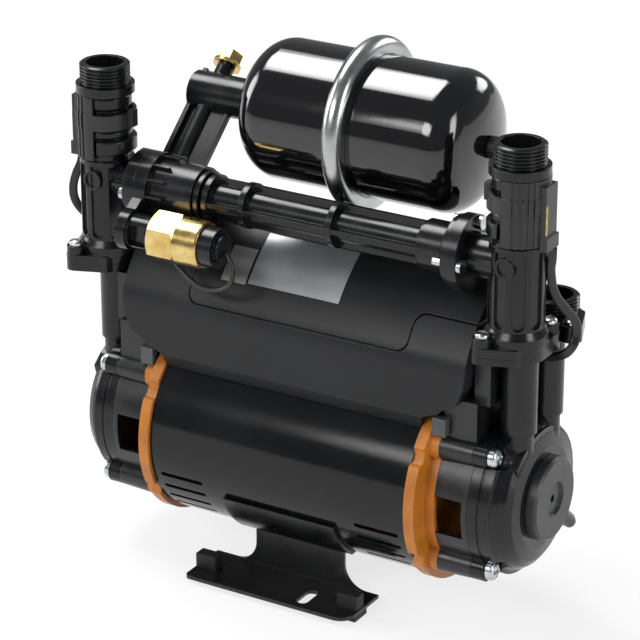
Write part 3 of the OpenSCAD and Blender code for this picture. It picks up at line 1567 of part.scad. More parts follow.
// The foot: a hat section of folded steel with a saddle under the motor
module foot_profile() {
  ledge_top = pad_h + foot_t;
  translate([-foot_d / 2, pad_h]) square([foot_d, foot_t]);
  for (s = [-1, 1]) {
    translate([s * web_y - foot_t / 2, pad_h]) square([foot_t, shaft_h - pad_h - foot_rise()]);
  }
  difference() {
    translate([0, shaft_h]) circle(r = saddle_r + foot_t);
    translate([0, shaft_h]) circle(r = saddle_r);
    translate([-motor_r * 2, shaft_h - motor_r * sin(saddle_angle)])
      square([motor_r * 4, motor_r * 4]);
  }
}

function foot_rise() = sqrt(pow(saddle_r + foot_t / 2, 2) - web_y * web_y);

// The foot seen from the front: wide ledges, webs that flare out to them, and the saddle
module foot_outline() {
  ledge_top = pad_h + foot_t;
  difference() {
    union() {
      translate([foot_shift - foot_w / 2, 0]) square([foot_w, ledge_top]);
      translate([-web_half - flare_r, 0]) square([2 * (web_half + flare_r), ledge_top + flare_r]);
      translate([-web_half, 0]) square([2 * web_half, shaft_h]);
    }
    for (s = [-1, 1])
      translate([s * (web_half + flare_r), ledge_top + flare_r]) circle(r = flare_r);
  }
  translate([-saddle_half, shaft_h - foot_rise() + overrun]) square([2 * saddle_half, shaft_h]);
}

module foot_bracket() {
  ledge_in = web_y - foot_t / 2;
  color("#17181a") difference() {
    intersection() {
      translate([-foot_w, 0, 0]) along_x() linear_extrude(height = 2 * foot_w) foot_profile();
      translate([0, foot_d, 0]) rotate([quarter, 0, 0])
        linear_extrude(height = 2 * foot_d) foot_outline();
    }
    translate([-foot_w, -ledge_in, pad_h - overrun])
      cube([2 * foot_w, 2 * ledge_in, foot_t + overrun + 0.01]);
    for (s = [-1, 1]) {
      translate([foot_slot_x, s * foot_slot_gap / 2, pad_h - overrun]) foot_slot();
      for (e = [-1, 1]) {
        translate([foot_shift + e * pad_x, s * pad_y, pad_h - overrun])
          cylinder(h = foot_t + 2 * overrun, r = pad_neck_r + 0.1);
        ledge_corner(e, s);
      }
    }
  }
}

module foot_slot() {
  straight = foot_slot_len - foot_slot_w;
  translate([-foot_slot_w / 2, -straight / 2, 0])
    cube([foot_slot_w, straight, foot_t + 2 * overrun]);
  for (s = [-1, 1]) translate([0, s * straight / 2, 0])
    cylinder(h = foot_t + 2 * overrun, r = foot_slot_w / 2);
}

module ledge_corner(e, s) {
  r = e > 0 ? foot_corner_r : left_corner_r;
  translate([foot_shift + e * (foot_w / 2 - r), s * (foot_d / 2 - r), pad_h - overrun])
    difference() {
      translate([e > 0 ? 0 : -r - overrun, s > 0 ? 0 : -r - overrun, 0])
        cube([r + overrun, r + overrun, foot_t + 2 * overrun]);
      translate([0, 0, -overrun]) cylinder(h = foot_t + 4 * overrun, r = r);
    }
}

module rubber_feet() {
  color("#101011") for (e = [-1, 1]) for (s = [-1, 1])
    translate([foot_shift + e * pad_x, s * pad_y, 0]) {
      translate([-pad_w / 2, -pad_d / 2, 0]) cube([pad_w, pad_d, pad_h - seat_gap]);
      translate([0, 0, pad_h - overrun]) cylinder(h = foot_t + 2 * overrun, r = pad_neck_r);
      translate([-button_w / 2, -button_d / 2, pad_h + foot_t + seat_gap])
        cube([button_w, button_d, button_h]);
    }
}

motor_casing();
stator_core();
stator_windings();
rotor_core();
motor_shaft();
bearing_outer_rings();
bearing_inner_rings();
bearing_balls();
left_end_plate();
right_end_plate();
left_pump_bracket();
right_pump_bracket();
left_backplate();
right_backplate();
left_pump_body();
right_pump_body();
left_impeller();
right_impeller();
seal_seats();
seal_heads();
left_end_cap();
right_end_cap();
drain_plugs();
body_seals();
pump_screws();
motor_cover();
cover_lid();
cover_clips();
control_board();
run_capacitor();
rating_label();
left_tower();
right_tower();
port_seals();
port_screws();
left_sensor_sleeve();
right_sensor_sleeve();
left_sensor_lead();
right_sensor_lead();
left_flow_float();
right_flow_float();
left_float_magnet();
right_float_magnet();
float_guides();
left_inlet_port();
right_inlet_port();
cross_tube();
tank_arm();
manifold_screws();
switch_body();
switch_cap();
switch_lead();
tank_left_shell();
tank_right_shell();
tank_clamp_ring();
tank_diaphragm();
tank_valve_cap();
arm_plug();
foot_bracket();
rubber_feet();
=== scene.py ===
import json
import math

import bpy
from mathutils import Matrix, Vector

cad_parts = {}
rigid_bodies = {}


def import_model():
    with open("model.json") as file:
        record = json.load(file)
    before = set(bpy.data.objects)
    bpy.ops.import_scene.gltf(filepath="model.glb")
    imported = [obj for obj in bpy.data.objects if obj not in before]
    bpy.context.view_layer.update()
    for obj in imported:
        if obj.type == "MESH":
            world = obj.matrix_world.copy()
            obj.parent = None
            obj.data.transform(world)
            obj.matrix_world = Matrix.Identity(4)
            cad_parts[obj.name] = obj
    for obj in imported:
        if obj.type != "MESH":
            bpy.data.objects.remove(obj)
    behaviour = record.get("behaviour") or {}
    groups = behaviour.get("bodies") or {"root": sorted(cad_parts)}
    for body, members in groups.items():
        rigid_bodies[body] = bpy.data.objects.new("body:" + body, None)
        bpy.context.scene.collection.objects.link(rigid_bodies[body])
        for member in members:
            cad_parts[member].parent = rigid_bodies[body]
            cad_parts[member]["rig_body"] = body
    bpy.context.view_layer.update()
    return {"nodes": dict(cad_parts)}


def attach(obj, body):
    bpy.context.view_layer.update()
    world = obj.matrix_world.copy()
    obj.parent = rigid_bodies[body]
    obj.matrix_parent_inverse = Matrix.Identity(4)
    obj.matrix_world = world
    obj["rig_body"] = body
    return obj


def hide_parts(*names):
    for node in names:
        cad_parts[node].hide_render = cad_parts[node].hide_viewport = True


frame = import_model()
nodes = frame["nodes"]

# Studio
# The pump stands on a white paper sweep under large soft boxes. The camera looks at its
# front right corner from a little above, with a long lens, as a catalogue shot does.

TARGET = Vector((-0.00016, 0.0, 0.13994))
TURN = 0.53738
RISE = 0.40099
DISTANCE = 1.55645
FOCAL_PIXELS = 2992.8
PICTURE = 640
SHIFT_ACROSS = -5.67
SHIFT_UP = 3.57


def aim(obj, place, at):
    """Puts an object at a place, looking at another, and links it to the scene."""
    obj.location = place
    obj.rotation_euler = (Vector(at) - Vector(place)).to_track_quat("-Z", "Y").to_euler()
    bpy.context.scene.collection.objects.link(obj)


def add(tree, kind, settings=None, **sockets):
    """Adds a node. A socket given another node's output is linked, any other value is set."""
    made = tree.nodes.new(kind)
    for key, value in (settings or {}).items():
        setattr(made, key, value)
    for key, value in sockets.items():
        socket = made.inputs[key.replace("_", " ")]
        if isinstance(value, bpy.types.NodeSocket):
            tree.links.new(value, socket)
        else:
            socket.default_value = value
    return made


def linear(code):
    """An sRGB colour written as six hex digits, as linear red, green, blue and alpha."""
    parts = [int(code[i:i + 2], 16) / 255 for i in (0, 2, 4)]
    return tuple(c / 12.92 if c <= 0.04045 else ((c + 0.055) / 1.055) ** 2.4 for c in parts) + (1.0,)


def empty_material(name):
    """A material with no nodes yet, and its node tree."""
    made = bpy.data.materials.new(name)
    made.use_nodes = True
    made.node_tree.nodes.clear()
    return made, made.node_tree


camera = bpy.data.objects.new("camera", bpy.data.cameras.new("camera"))
camera.data.sensor_width = 36.0
camera.data.lens = FOCAL_PIXELS / PICTURE * camera.data.sensor_width
camera.data.shift_x = SHIFT_ACROSS / PICTURE
camera.data.shift_y = SHIFT_UP / PICTURE
camera.data.clip_end = 20.0
view = Vector((math.sin(TURN) * math.cos(RISE), -math.cos(TURN) * math.cos(RISE), math.sin(RISE)))
aim(camera, TARGET + DISTANCE * view, TARGET)
bpy.context.scene.camera = camera
bpy.context.scene.view_settings.view_transform = "Standard"

# Place, width, height and watts of each soft box. Its light fades towards its edges.
SOFT_BOXES = {
    "front_box": ((-0.5, -2.2, 1.5), 1.5, 0.8, 26.0),
    "left_box": ((-2.0, -0.5, 0.9), 0.9, 1.5, 24.0),
    "right_box": ((2.0, -0.3, 0.8), 0.7, 1.4, 16.0),
    "top_box": ((-0.95, 0.3, 2.1), 1.5, 1.0, 44.0),
    "back_box": ((0.7, 2.0, 0.9), 1.2, 0.7, 12.0),
}
for name, (place, width, height, power) in SOFT_BOXES.items():
    lamp = bpy.data.lights.new(name, "AREA")
    lamp.shape = "RECTANGLE"
    lamp.size = width
    lamp.size_y = height
    lamp.energy = power
    lamp.use_nodes = True
    tree = lamp.node_tree
    tree.nodes.clear()
    spot = add(tree, "ShaderNodeNewGeometry").outputs["Parametric"]
    centred = add(tree, "ShaderNodeVectorMath", {"operation": "SUBTRACT"})
    tree.links.new(spot, centred.inputs[0])
    centred.inputs[1].default_value = (0.5, 0.5, 0.0)
    out = add(tree, "ShaderNodeVectorMath", {"operation": "LENGTH"})
    tree.links.new(centred.outputs[0], out.inputs[0])
    fade = add(tree, "ShaderNodeMapRange", {"interpolation_type": "SMOOTHSTEP"}, Value=out.outputs["Value"],
               From_Min=0.3, From_Max=0.62, To_Min=1.4, To_Max=0.25)
    glow = add(tree, "ShaderNodeEmission", Color=(1.0, 1.0, 1.0, 1.0), Strength=fade.outputs["Result"])
    add(tree, "ShaderNodeOutputLight", Surface=glow.outputs[0])
    aim(bpy.data.objects.new(name, lamp), place, (0, 0, 0.14))

world = bpy.data.worlds.new("studio")
bpy.context.scene.world = world
world.use_nodes = True
tree = world.node_tree
tree.nodes.clear()
room = add(tree, "ShaderNodeBackground", Color=linear("e6e9ed"), Strength=0.25)
add(tree, "ShaderNodeOutputWorld", Surface=room.outputs[0])

# The sweep is matt white paper. The camera and the pump's gloss see it almost burnt out, as
# in a cut-out photograph, but it keeps the soft shadow that the pump throws.
BURNT_SHARE = 0.75
sweep_paper, tree = empty_material("white_sweep_paper")
path = add(tree, "ShaderNodeLightPath")
seen = path.outputs["Is Camera Ray"]
for kind in ("Is Glossy Ray", "Is Transmission Ray"):
    either = add(tree, "ShaderNodeMath", {"operation": "MAXIMUM"})
    tree.links.new(seen, either.inputs[0])
    tree.links.new(path.outputs[kind], either.inputs[1])
    seen = either.outputs[0]
share = add(tree, "ShaderNodeMath", {"operation": "MULTIPLY"})
tree.links.new(seen, share.inputs[0])
share.inputs[1].default_value = BURNT_SHARE
fibres = add(tree, "ShaderNodeTexNoise", Vector=add(tree, "ShaderNodeTexCoord").outputs["Object"],
             Scale=900.0, Detail=2.0)
tooth = add(tree, "ShaderNodeBump", Distance=0.00002, Height=fibres.outputs["Fac"])
paper = add(tree, "ShaderNodeBsdfDiffuse", Color=linear("f7f7f7"), Normal=tooth.outputs[0])
burnt = add(tree, "ShaderNodeEmission", Color=(1.0, 1.0, 1.0, 1.0), Strength=1.0)
veil = add(tree, "ShaderNodeMixShader", Fac=share.outputs[0])
tree.links.new(paper.outputs[0], veil.inputs[1])
tree.links.new(burnt.outputs[0], veil.inputs[2])
add(tree, "ShaderNodeOutputMaterial", Surface=veil.outputs[0])
SWEEP_HALF = 6.0
floor_mesh = bpy.data.meshes.new("floor")
floor_mesh.from_pydata([(x * SWEEP_HALF, y * SWEEP_HALF, 0) for x, y in ((-1, -1), (1, -1), (1, 1), (-1, 1))],
                       [], [(0, 1, 2, 3)])
floor_mesh.materials.append(sweep_paper)
floor = bpy.data.objects.new("floor", floor_mesh)
bpy.context.scene.collection.objects.link(floor)

# Leads
# Two flat sensor leads hang from the boxes on the towers and tuck in behind the flanges, and
# a round lead loops from the pressure switch into the arm. All are black PVC.


def finish(name, dark, light, gloss, grain, relief, edge, cloud=0.014, **shader):
    """A surface whose grain has a size in metres along X, Y and Z and a relief in metres. Its
    tone drifts from dark to light and its roughness between gloss's two values over cloud
    metres, and its edges are rounded to edge metres. The rest is set on the shader."""
    made, tree = empty_material(name)
    place = add(tree, "ShaderNodeTexCoord").outputs["Object"]
    stretched = add(tree, "ShaderNodeMapping", Vector=place, Scale=[1 / g for g in grain])
    fine = add(tree, "ShaderNodeTexNoise", Vector=stretched.outputs[0], Scale=1.0, Detail=3.0)
    drift = add(tree, "ShaderNodeTexNoise", Vector=place, Scale=1 / cloud, Detail=3.0)
    tone = add(tree, "ShaderNodeValToRGB", Fac=drift.outputs["Fac"])
    for stop, code, at in zip(tone.color_ramp.elements, (dark, light), (0.3, 0.7)):
        stop.color = linear(code)
        stop.position = at
    rough = add(tree, "ShaderNodeMapRange", Value=drift.outputs["Fac"], From_Min=0.3, From_Max=0.7,
                To_Min=gloss[0], To_Max=gloss[1])
    rounded = add(tree, "ShaderNodeBevel", {"samples": 4}, Radius=edge)
    skin = add(tree, "ShaderNodeBump", Distance=relief, Height=fine.outputs["Fac"], Normal=rounded.outputs[0])
    body = add(tree, "ShaderNodeBsdfPrincipled", Base_Color=tone.outputs[0], Roughness=rough.outputs[0],
               Normal=skin.outputs[0], **shader)
    add(tree, "ShaderNodeOutputMaterial", Surface=body.outputs[0])
    return made


def flow(route, steps=6):
    """A smooth line in metres through a route's points, which are in millimetres."""
    p = [Vector(point) / 1000 for point in route]
    p = [2 * p[0] - p[1]] + p + [2 * p[-1] - p[-2]]
    line = []
    for a, b, c, d in zip(p, p[1:], p[2:], p[3:]):
        for k in range(steps):
            t = k / steps
            line.append(0.5 * (2 * b + (c - a) * t + (2 * a - 5 * b + 4 * c - d) * t ** 2
                               + (3 * b - a - 3 * c + d) * t ** 3))
    return line + [p[-2]]


def sweep(name, line, width, thick, face, look, square=0.55, sides=20, taper=0.0):
    """A closed bar along a line. face is where its width points at the start, square draws its
    section from an ellipse at 1 to a box at 0, and taper is the share of its ends that thins."""
    verts, faces, up = [], [], Vector(face)
    last = len(line) - 1
    for i, point in enumerate(line):
        along = (line[min(i + 1, last)] - line[max(i - 1, 0)]).normalized()
        up = (up - up.dot(along) * along).normalized()
        out = along.cross(up)
        near_end = min(i, last - i) / last
        swell = 1.0 if near_end >= taper else math.sqrt(1 - (1 - near_end / taper) ** 2) * 0.96 + 0.04
        for k in range(sides):
            a = 2 * math.pi * k / sides
            u, v = (math.copysign(abs(s) ** square, s) for s in (math.cos(a), math.sin(a)))
            verts.append(point + swell * (width / 2 * u * up + thick / 2 * v * out))
    for i in range(last):
        for k in range(sides):
            a, b = i * sides + k, i * sides + (k + 1) % sides
            faces.append((a, b, b + sides, a + sides))
    faces.append(tuple(reversed(range(sides))))
    faces.append(tuple(last * sides + k for k in range(sides)))
    mesh = bpy.data.meshes.new(name)
    mesh.from_pydata(verts, [], faces)
    mesh.materials.append(look)
    mesh.shade_smooth()
    mesh.set_sharp_from_angle(angle=math.radians(60))
    piece = bpy.data.objects.new(name, mesh)
    bpy.context.scene.collection.objects.link(piece)
    return piece


def lay_lead(name, node, route, width, thick, face, look, square):
    """A lead that stands for its CAD node, which it hides."""
    line = flow(route)
    piece = sweep(name, line, width, thick, face, look, square)
    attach(piece, nodes[node]["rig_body"])
    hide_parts(node)


# PVC sheath, extruded: a smooth soft sheen with faint draw lines
pvc_black = finish("pvc_sheath_black", "121214", "1b1b1d", (0.3, 0.42), (0.0006, 0.0006, 0.004), 0.000006,
                   0.0002, IOR=1.53)
RIGHT_LEAD = [
    (137.9, -17.2, 215.9), (137.4, -16.3, 210), (136, -14.5, 204), (135.3, -12, 197.5),
    (135.2, -9.5, 191), (136.7, -6.8, 184.9), (139.4, -3.4, 179.2), (142.2, -0.5, 174),
    (143.4, 1.3, 169.3), (143.4, 1.3, 163.8), (142.7, -0.7, 159.3), (138.8, -0.8, 154.2),
    (132, 0.3, 150.5), (126, 0, 149.6), (119.5, 0, 149.4), (111.6, 0, 149.4),
]
LEFT_LEAD = [
    (-138, -18.6, 215.9), (-138.9, -19.5, 209.5), (-141, -21, 203.5), (-142.8, -21.5, 196.5),
    (-142.9, -20.8, 189.5), (-141.4, -18, 183), (-138.6, -13.5, 177.5), (-134.8, -8, 174.2),
    (-129.6, -2.4, 172.4), (-122.5, 1.6, 171.6), (-115, 5, 170.8), (-108.8, 8.4, 168),
    (-105.4, 10, 162.5), (-105, 10, 156.1),
]
SWITCH_LEAD = [
    (-32.8, -45, 187.4), (-31.4, -45.1, 187.2), (-29, -46.2, 184.4), (-27.3, -46.8, 179.6),
    (-28, -46.8, 174.2), (-31.6, -46.4, 169.8), (-37.5, -45.8, 167), (-44.5, -45, 166),
    (-51.5, -44, 166.8), (-58, -42.8, 169.6), (-64, -41, 173.2), (-69.5, -37.5, 175.4),
    (-74, -32.5, 176.8), (-77, -27, 177.2), (-78, -21.8, 176.6),
]
LEAD_WIDTH = 0.0046
LEAD_THICK = 0.0024
LEAD_FACE = (0.86, 0.51, 0.0)
SWITCH_LEAD_WIDTH = 0.00272
lay_lead("right_sensor_ribbon", "right_sensor_lead", RIGHT_LEAD, LEAD_WIDTH, LEAD_THICK, LEAD_FACE,
         pvc_black, 0.5)
lay_lead("left_sensor_ribbon", "left_sensor_lead", LEFT_LEAD, LEAD_WIDTH, LEAD_THICK, LEAD_FACE,
         pvc_black, 0.5)
lay_lead("switch_round_lead", "switch_lead", SWITCH_LEAD, SWITCH_LEAD_WIDTH, SWITCH_LEAD_WIDTH, (0, 0, 1),
         pvc_black, 1.0)

# Foot
# A hat section folded from 2 mm steel and powder coated in satin black, with a saddle under
# the motor. Four moulded rubber feet are pushed through its ledges.


def paint(look, *names):
    """Gives CAD nodes a finish."""
    for name in names:
        for slot in nodes[name].material_slots:
            slot.material = look


# Powder coat: an even satin black with the fine peel that the powder leaves
powder_black = finish("powder_coat_black", "0c0d0e", "131416", (0.24, 0.32), (0.0014, 0.0014, 0.0014),
                      0.00002, 0.0006, IOR=1.5)
# EPDM rubber: dull, slightly dusty black
rubber_black = finish("epdm_rubber_black", "0e0e0e", "1a1a1a", (0.5, 0.68), (0.0009, 0.0009, 0.0009),
                      0.00002, 0.0006)
paint(powder_black, "foot_bracket")
paint(rubber_black, "rubber_feet")

# Motor insides
# A stack of thin steel laminations with a copper winding at each end, and inside it a cast
# rotor on a ground shaft that turns in two ball bearings.

# Laminated electrical steel: fine lines between the sheets, drawn at 1 mm instead of 0.5
laminations = finish("electrical_steel_laminated", "565a5f", "73787e", (0.35, 0.5), (0.001, 0.06, 0.06),
                     0.00008, 0.0003, Metallic=1.0)
# Enamelled copper wire: warm and glossy, in strands that run round the ring
copper_wire = finish("copper_enamelled_wire", "7c3d1c", "b4602f", (0.25, 0.4), (0.0011, 0.012, 0.012),
                     0.0002, 0.0006, Metallic=0.85)
# Die-cast aluminium: pale and grainy, as it leaves the mould
cast_aluminium = finish("aluminium_die_cast", "85898d", "a3a7ab", (0.4, 0.55), (0.001, 0.001, 0.001),
                        0.00004, 0.0004, Metallic=1.0)
# Ground bearing steel: bright, with fine marks round the shaft
steel_ground = finish("bearing_steel_ground", "b6babd", "d4d7da", (0.12, 0.2), (0.0004, 0.03, 0.03),
                      0.000004, 0.0003, Metallic=1.0)
paint(laminations, "stator_core")
paint(copper_wire, "stator_windings")
paint(cast_aluminium, "rotor_core")
paint(steel_ground, "motor_shaft", "bearing_outer_rings", "bearing_inner_rings", "bearing_balls")

# Motor casing
# A rolled steel tube with cooling slots pierced in groups at both ends, stoved in gloss
# black. It is clamped between the two end plates.

# Stoved enamel on rolled steel: deep gloss black with a faint long waviness
stoved_black = finish("stoved_enamel_black", "0b0c0d", "131416", (0.13, 0.19), (0.02, 0.006, 0.006),
                      0.00006, 0.0004, cloud=0.05, IOR=1.5, Specular_IOR_Level=0.25, Coat_Weight=0.2, Coat_Roughness=0.08)
paint(stoved_black, "motor_casing")

# End plates
# Each is a cast disc with a notched rim that shows as an orange band. It holds the bearing,
# closes the casing and carries the bracket.

# Orange powder coat: a strong tone with a light peel, browner where it lies in shade
powder_orange = finish("powder_coat_orange", "a35f14", "bb7322", (0.36, 0.46), (0.0012, 0.0012, 0.0012),
                       0.00003, 0.0006, IOR=1.5)
paint(powder_orange, "left_end_plate", "right_end_plate")

# Brackets and pumps
# Open brackets, pump bodies with their water pipes, and the backplates are moulded in
# glass-filled nylon. Impellers, seals and drain plugs are inside and behind them.

# Glass-filled nylon, moulded: near black, with a soft gloss that the fibres make uneven
nylon_satin = finish("nylon_glass_filled_satin", "111214", "1b1c1e", (0.27, 0.38), (0.0011, 0.0011, 0.0011),
                     0.000022, 0.0007, IOR=1.53)
# The same nylon from a polished tool: sharper lights along the pipes and towers
nylon_gloss = finish("nylon_glass_filled_polished", "0e0f10", "161719", (0.17, 0.27), (0.0016, 0.0016,
                     0.0016), 0.000012, 0.0006, IOR=1.53, Specular_IOR_Level=0.35)
# Unpolished caps: grey-black, with the haze of a spark-eroded tool
nylon_grey = finish("nylon_spark_eroded", "242527", "2e2f31", (0.36, 0.46), (0.0008, 0.0008, 0.0008),
                    0.00003, 0.0006, IOR=1.53)
# Acetal: creamy white and slightly waxy
acetal = finish("acetal_natural", "d3cdbd", "e0dbce", (0.3, 0.42), (0.002, 0.002, 0.002), 0.00001, 0.0005,
                IOR=1.48, Subsurface_Weight=0.1, Subsurface_Scale=0.002)
# Fired ceramic: hard white with a low shine
ceramic = finish("alumina_ceramic", "dcdad2", "e9e7e0", (0.15, 0.25), (0.0008, 0.0008, 0.0008), 0.000006,
                 0.0002)
paint(nylon_satin, "left_pump_bracket", "right_pump_bracket", "left_backplate", "right_backplate",
      "drain_plugs")
paint(nylon_gloss, "left_pump_body", "right_pump_body")
paint(nylon_grey, "left_end_cap", "right_end_cap")
paint(acetal, "left_impeller", "right_impeller")
paint(ceramic, "seal_seats")
paint(rubber_black, "body_seals", "seal_heads")

# Pump and flange screws
# Eight long pan head screws hold the pumps to the motor, and eight short ones hold the
# towers and ports to their flanges. All are cross-recessed and zinc plated.
SCREW_SEED = 5


def screw_blank(name, shank_r, shank_len, head_r, rim_h, crown_h):
    """One screw with its seat at 0 and its head up. The recess is pressed into its crown."""
    turns, rings = 48, 14
    profile = [(0.0, -shank_len), (shank_r * 0.8, -shank_len), (shank_r, -shank_len + shank_r * 0.2),
               (shank_r, 0.0), (head_r * 0.94, 0.0), (head_r, head_r * 0.05), (head_r, rim_h)]
    for k in range(1, rings + 1):
        r = head_r * math.cos(math.pi / 2 * k / rings)
        profile.append((r, rim_h + crown_h * math.sin(math.pi / 2 * k / rings) ** 0.9))
    arm, half, deep = head_r * 0.58, head_r * 0.13, crown_h * 1.15
    verts, faces = [], []
    for i, (r, z) in enumerate(profile):
        for k in range(turns):
            a = 2 * math.pi * k / turns
            x, y = r * math.cos(a), r * math.sin(a)
            cut = 0.0
            if z > rim_h:
                for u, v in ((abs(x), abs(y)), (abs(y), abs(x))):
                    side = min(1.0, max(0.0, (half * 1.25 - v) / (half * 0.5)))
                    end = min(1.0, max(0.0, (arm - u) / (arm * 0.35)))
                    cut = max(cut, side * end)
            verts.append((x, y, z - deep * cut))
    for i in range(len(profile) - 1):
        for k in range(turns):
            a, b = i * turns + k, i * turns + (k + 1) % turns
            faces.append((a, b, b + turns, a + turns))
    mesh = bpy.data.meshes.new(name)
    mesh.from_pydata(verts, [], faces)
    return mesh


def set_screws(name, node, places, blank, look):
    """Screws at places, each a point and the way its head looks, made by Geometry Nodes."""
    stock = bpy.data.objects.new(name + "_stock", blank)
    bpy.context.scene.collection.objects.link(stock)
    mesh = bpy.data.meshes.new(name + "_points")
    mesh.from_pydata([point for point, heading in places], [], [])
    headings = mesh.attributes.new("heading", "FLOAT_VECTOR", "POINT")
    headings.data.foreach_set("vector", [c for point, heading in places for c in heading])
    piece = bpy.data.objects.new(name, mesh)
    bpy.context.scene.collection.objects.link(piece)
    tree = bpy.data.node_groups.new(name, "GeometryNodeTree")
    tree.interface.new_socket("Places", in_out="INPUT", socket_type="NodeSocketGeometry")
    tree.interface.new_socket("Screw", in_out="INPUT", socket_type="NodeSocketObject")
    tree.interface.new_socket("Size", in_out="INPUT", socket_type="NodeSocketFloat")
    tree.interface.new_socket("Seed", in_out="INPUT", socket_type="NodeSocketInt")
    tree.interface.new_socket("Screws", in_out="OUTPUT", socket_type="NodeSocketGeometry")
    given = tree.nodes.new("NodeGroupInput")
    one = add(tree, "GeometryNodeObjectInfo", Object=given.outputs["Screw"])
    heading = add(tree, "GeometryNodeInputNamedAttribute", {"data_type": "FLOAT_VECTOR"}, Name="heading")
    turned = add(tree, "FunctionNodeAlignRotationToVector", {"axis": "Z"}, Vector=heading.outputs["Attribute"])
    roll = add(tree, "FunctionNodeRandomValue", {"data_type": "FLOAT_VECTOR"}, Seed=given.outputs["Seed"])
    roll.inputs["Min"].default_value = (0.0, 0.0, 0.0)
    roll.inputs["Max"].default_value = (0.0, 0.0, math.pi / 2)
    spun = add(tree, "FunctionNodeEulerToRotation", Euler=roll.outputs["Value"])
    both = add(tree, "FunctionNodeRotateRotation", {"rotation_space": "LOCAL"}, Rotation=turned.outputs[0],
               Rotate_By=spun.outputs[0])
    placed = add(tree, "GeometryNodeInstanceOnPoints", Points=given.outputs["Places"],
                 Instance=one.outputs["Geometry"], Rotation=both.outputs[0], Scale=given.outputs["Size"])
    real = add(tree, "GeometryNodeRealizeInstances", Geometry=placed.outputs[0])
    coated = add(tree, "GeometryNodeSetMaterial", Geometry=real.outputs[0], Material=look)
    result = tree.nodes.new("NodeGroupOutput")
    tree.links.new(coated.outputs[0], result.inputs["Screws"])
    modifier = piece.modifiers.new(name, "NODES")
    modifier.node_group = tree
    keys = {item.name: item.identifier for item in tree.interface.items_tree if item.in_out == "INPUT"}
    modifier[keys["Screw"]] = stock
    modifier[keys["Size"]] = 1.0
    modifier[keys["Seed"]] = SCREW_SEED
    graph = bpy.context.evaluated_depsgraph_get()
    made = bpy.data.meshes.new_from_object(piece.evaluated_get(graph))
    piece.modifiers.remove(modifier)
    piece.data = made
    made.materials.clear()
    made.materials.append(look)
    made.shade_smooth()
    made.set_sharp_from_angle(angle=math.radians(32))
    bpy.data.objects.remove(stock)
    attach(piece, nodes[node]["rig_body"])
    return piece


def plain_screws(name, node, places, look, **sizes):
    """Screws of one size at places in millimetres."""
    blank = screw_blank(name + "_blank", **{key: value / 1000 for key, value in sizes.items()})
    return set_screws(name, node, [(Vector(p) / 1000, h) for p, h in places], blank, look)


# Zinc plated steel: bluish bright metal, a little cloudy
zinc = finish("zinc_plated_steel", "b4b9bd", "d6dade", (0.16, 0.3), (0.0007, 0.0007, 0.0007), 0.000008,
              0.0002, cloud=0.004, Metallic=1.0)
SHAFT_Z = 72.5
SCREW_OFF = 31.4
SCREW_SEAT = 114.61
long_screws = plain_screws(
    "pump_pan_screws", "pump_screws",
    [((side * SCREW_SEAT, y * SCREW_OFF, SHAFT_Z + z * SCREW_OFF), (side, 0, 0))
     for side in (-1, 1) for y in (-1, 1) for z in (-1, 1)],
    zinc, shank_r=2.5, shank_len=38.5, head_r=5.3, rim_h=2.6, crown_h=2.7)
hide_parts("pump_screws")
BOSS_TOP = 170.55
FLANGE_TOP = 166.05
tower_screws = plain_screws(
    "tower_flange_screws", "port_screws",
    [((x, y, BOSS_TOP), (0, 0, 1)) for x, y in ((131, -3.8), (111, -37.2), (-111, -3.8), (-131, -37.2))],
    zinc, shank_r=1.95, shank_len=12.8, head_r=3.8, rim_h=1.3, crown_h=1.6)
inlet_screws = plain_screws(
    "inlet_flange_screws", "port_screws",
    [((x, y, FLANGE_TOP), (0, 0, 1)) for x, y in ((137, 9.5), (107.6, 31.5), (-137, 9.5), (-107.6, 31.5))],
    zinc, shank_r=1.95, shank_len=8.3, head_r=3.8, rim_h=1.3, crown_h=1.6)
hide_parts("port_screws")
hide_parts("port_screws")

# Cover
# A two-part housing over the motor, injection moulded in anthracite ABS, with the control
# board and the run capacitor inside. Four grey clips hold it and a bare silver film
# stands where the rating labels are.

# ABS, moulded with a fine spark grain: an even dark grey with a soft sheen
abs_anthracite = finish("abs_anthracite_grained", "151618", "1b1c1e", (0.36, 0.44), (0.0007, 0.0007,
                        0.0007), 0.00003, 0.0009, cloud=0.04, IOR=1.53, Specular_IOR_Level=0.3)
# Grey nylon clips, plain moulded
nylon_clip = finish("nylon_clip_grey", "3b3d40", "46494c", (0.4, 0.5), (0.0009, 0.0009, 0.0009), 0.00002,
                    0.0004)
# Metallised polyester film: a brushed silver sheet with fine lines along the pump
silver_film = finish("polyester_film_silver", "a0a3a6", "b6b8bb", (0.26, 0.36), (0.03, 0.0005, 0.0005),
                     0.000012, 0.0001, cloud=0.03, Metallic=0.75)
# Solder mask on glass laminate: deep green over a fine weave
solder_mask = finish("glass_laminate_green", "1d4f2f", "2b6b40", (0.25, 0.38), (0.0008, 0.0008, 0.0008),
                     0.00002, 0.0003, cloud=0.004)
# Extruded aluminium can in a white sleeve
white_sleeve = finish("pvc_sleeve_white", "cfcfca", "dddcd8", (0.3, 0.4), (0.002, 0.002, 0.002), 0.00001,
                      0.0006)
paint(abs_anthracite, "motor_cover", "cover_lid")
paint(nylon_clip, "cover_clips")
paint(silver_film, "rating_label")
paint(solder_mask, "control_board")
paint(white_sleeve, "run_capacitor")

# Towers and ports
# Each outlet tower and inlet port is a nylon moulding with a male pipe thread, sealed by
# an O-ring. A float with a magnet lifts inside the tower when water flows.

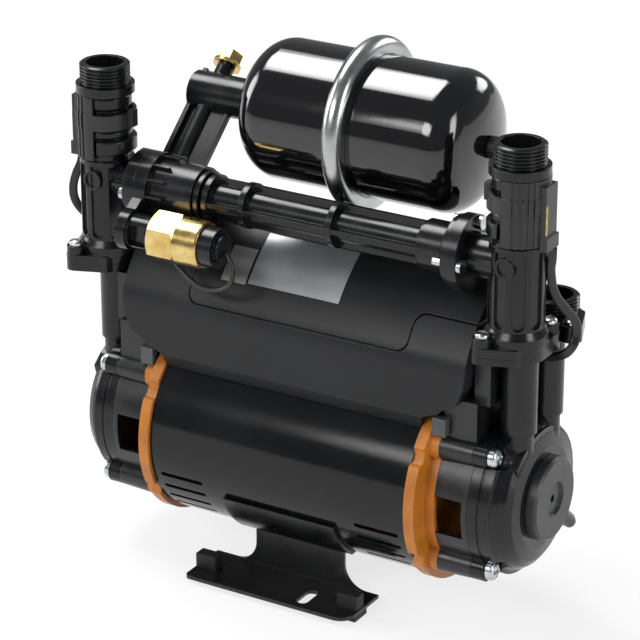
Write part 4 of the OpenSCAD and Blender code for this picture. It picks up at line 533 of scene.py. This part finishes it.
# Sintered ferrite: dark grey and matt
ferrite = finish("ferrite_magnet", "2b2b2e", "3a3a3d", (0.45, 0.6), (0.0006, 0.0006, 0.0006), 0.00003,
                 0.0002)
paint(nylon_gloss, "left_tower", "right_tower", "left_inlet_port", "right_inlet_port", "float_guides")
paint(rubber_black, "port_seals")
paint(acetal, "left_flow_float", "right_flow_float")
paint(ferrite, "left_float_magnet", "right_float_magnet")

# Sensor sleeves
# A clip-on collar with a flat box outside holds the reed sensor. The box is potted, and the
# cured resin shows as a yellowish bead along its front edge.
TOWER_X = 121.0
TOWER_Y = -20.5
BOX_FACE = 17.4
BOX_HALF = 6.0
RESIN_FOOT = 224.5
RESIN_TOP = 240.5
RESIN_WIDTH = 0.0017
RESIN_PROUD = 0.0011
RESIN_IN = 0.9
RESIN_STEPS = 24
# Epoxy resin: amber, glossy and a little cloudy
amber_resin = finish("epoxy_resin_amber", "9a8440", "c2aa5c", (0.12, 0.22), (0.0015, 0.0015, 0.0015),
                     0.00002, 0.0002, cloud=0.003, IOR=1.55)
paint(nylon_satin, "left_sensor_sleeve", "right_sensor_sleeve")
for side, name in ((-1, "left"), (1, "right")):
    edge_x = side * (TOWER_X + BOX_FACE)
    edge_y = TOWER_Y - BOX_HALF + RESIN_IN
    bead = sweep(name + "_sensor_resin",
                 [Vector((edge_x, edge_y, RESIN_FOOT + (RESIN_TOP - RESIN_FOOT) * k / RESIN_STEPS)) / 1000
                  for k in range(RESIN_STEPS + 1)],
                 RESIN_WIDTH, RESIN_PROUD, (0, 1, 0), amber_resin, square=0.9, sides=16, taper=0.12)
    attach(bead, nodes[name + "_sensor_sleeve"]["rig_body"])

# Cross tube and arm
# A ribbed tube joins the towers, and the arm on its left end carries the vessel and the
# pressure switch. Both are glass-filled nylon, screwed through their flanges.
paint(nylon_gloss, "cross_tube", "tank_arm")
paint(zinc, "manifold_screws")

# Pressure switch
# A turned brass body with a hexagon, screwed on the arm's stub, under a black cap. A small
# brass plug with its washer closes the top of the arm.

# Turned brass: bright yellow metal with fine lathe marks round it
brass = finish("brass_turned", "cdab62", "e6cd90", (0.18, 0.28), (0.0006, 0.03, 0.03), 0.00001, 0.0005,
               cloud=0.006, Metallic=1.0)
paint(brass, "switch_body", "arm_plug")
paint(nylon_gloss, "switch_cap")

# Pressure vessel
# Two deep drawn shells in gloss black enamel are clamped on a rubber diaphragm by a rolled
# ring of bright stainless steel. A ribbed cap covers the air valve.

# Wet enamel on drawn steel: black glass with a long soft peel
enamel_gloss = finish("wet_enamel_black", "070708", "0c0c0e", (0.07, 0.11), (0.012, 0.012, 0.012), 0.00004,
                      0.0004, cloud=0.06, IOR=1.5, Coat_Weight=0.6, Coat_Roughness=0.04)
# Stainless strip, rolled and buffed: bright, with fine lines round the ring
stainless = finish("stainless_steel_buffed", "9fa1a1", "c4c5c5", (0.2, 0.32), (0.0009, 0.04, 0.04), 0.00002,
                   0.0004, cloud=0.02, Metallic=1.0)
paint(enamel_gloss, "tank_left_shell", "tank_right_shell")
paint(stainless, "tank_clamp_ring")
paint(rubber_black, "tank_diaphragm")
paint(nylon_satin, "tank_valve_cap")
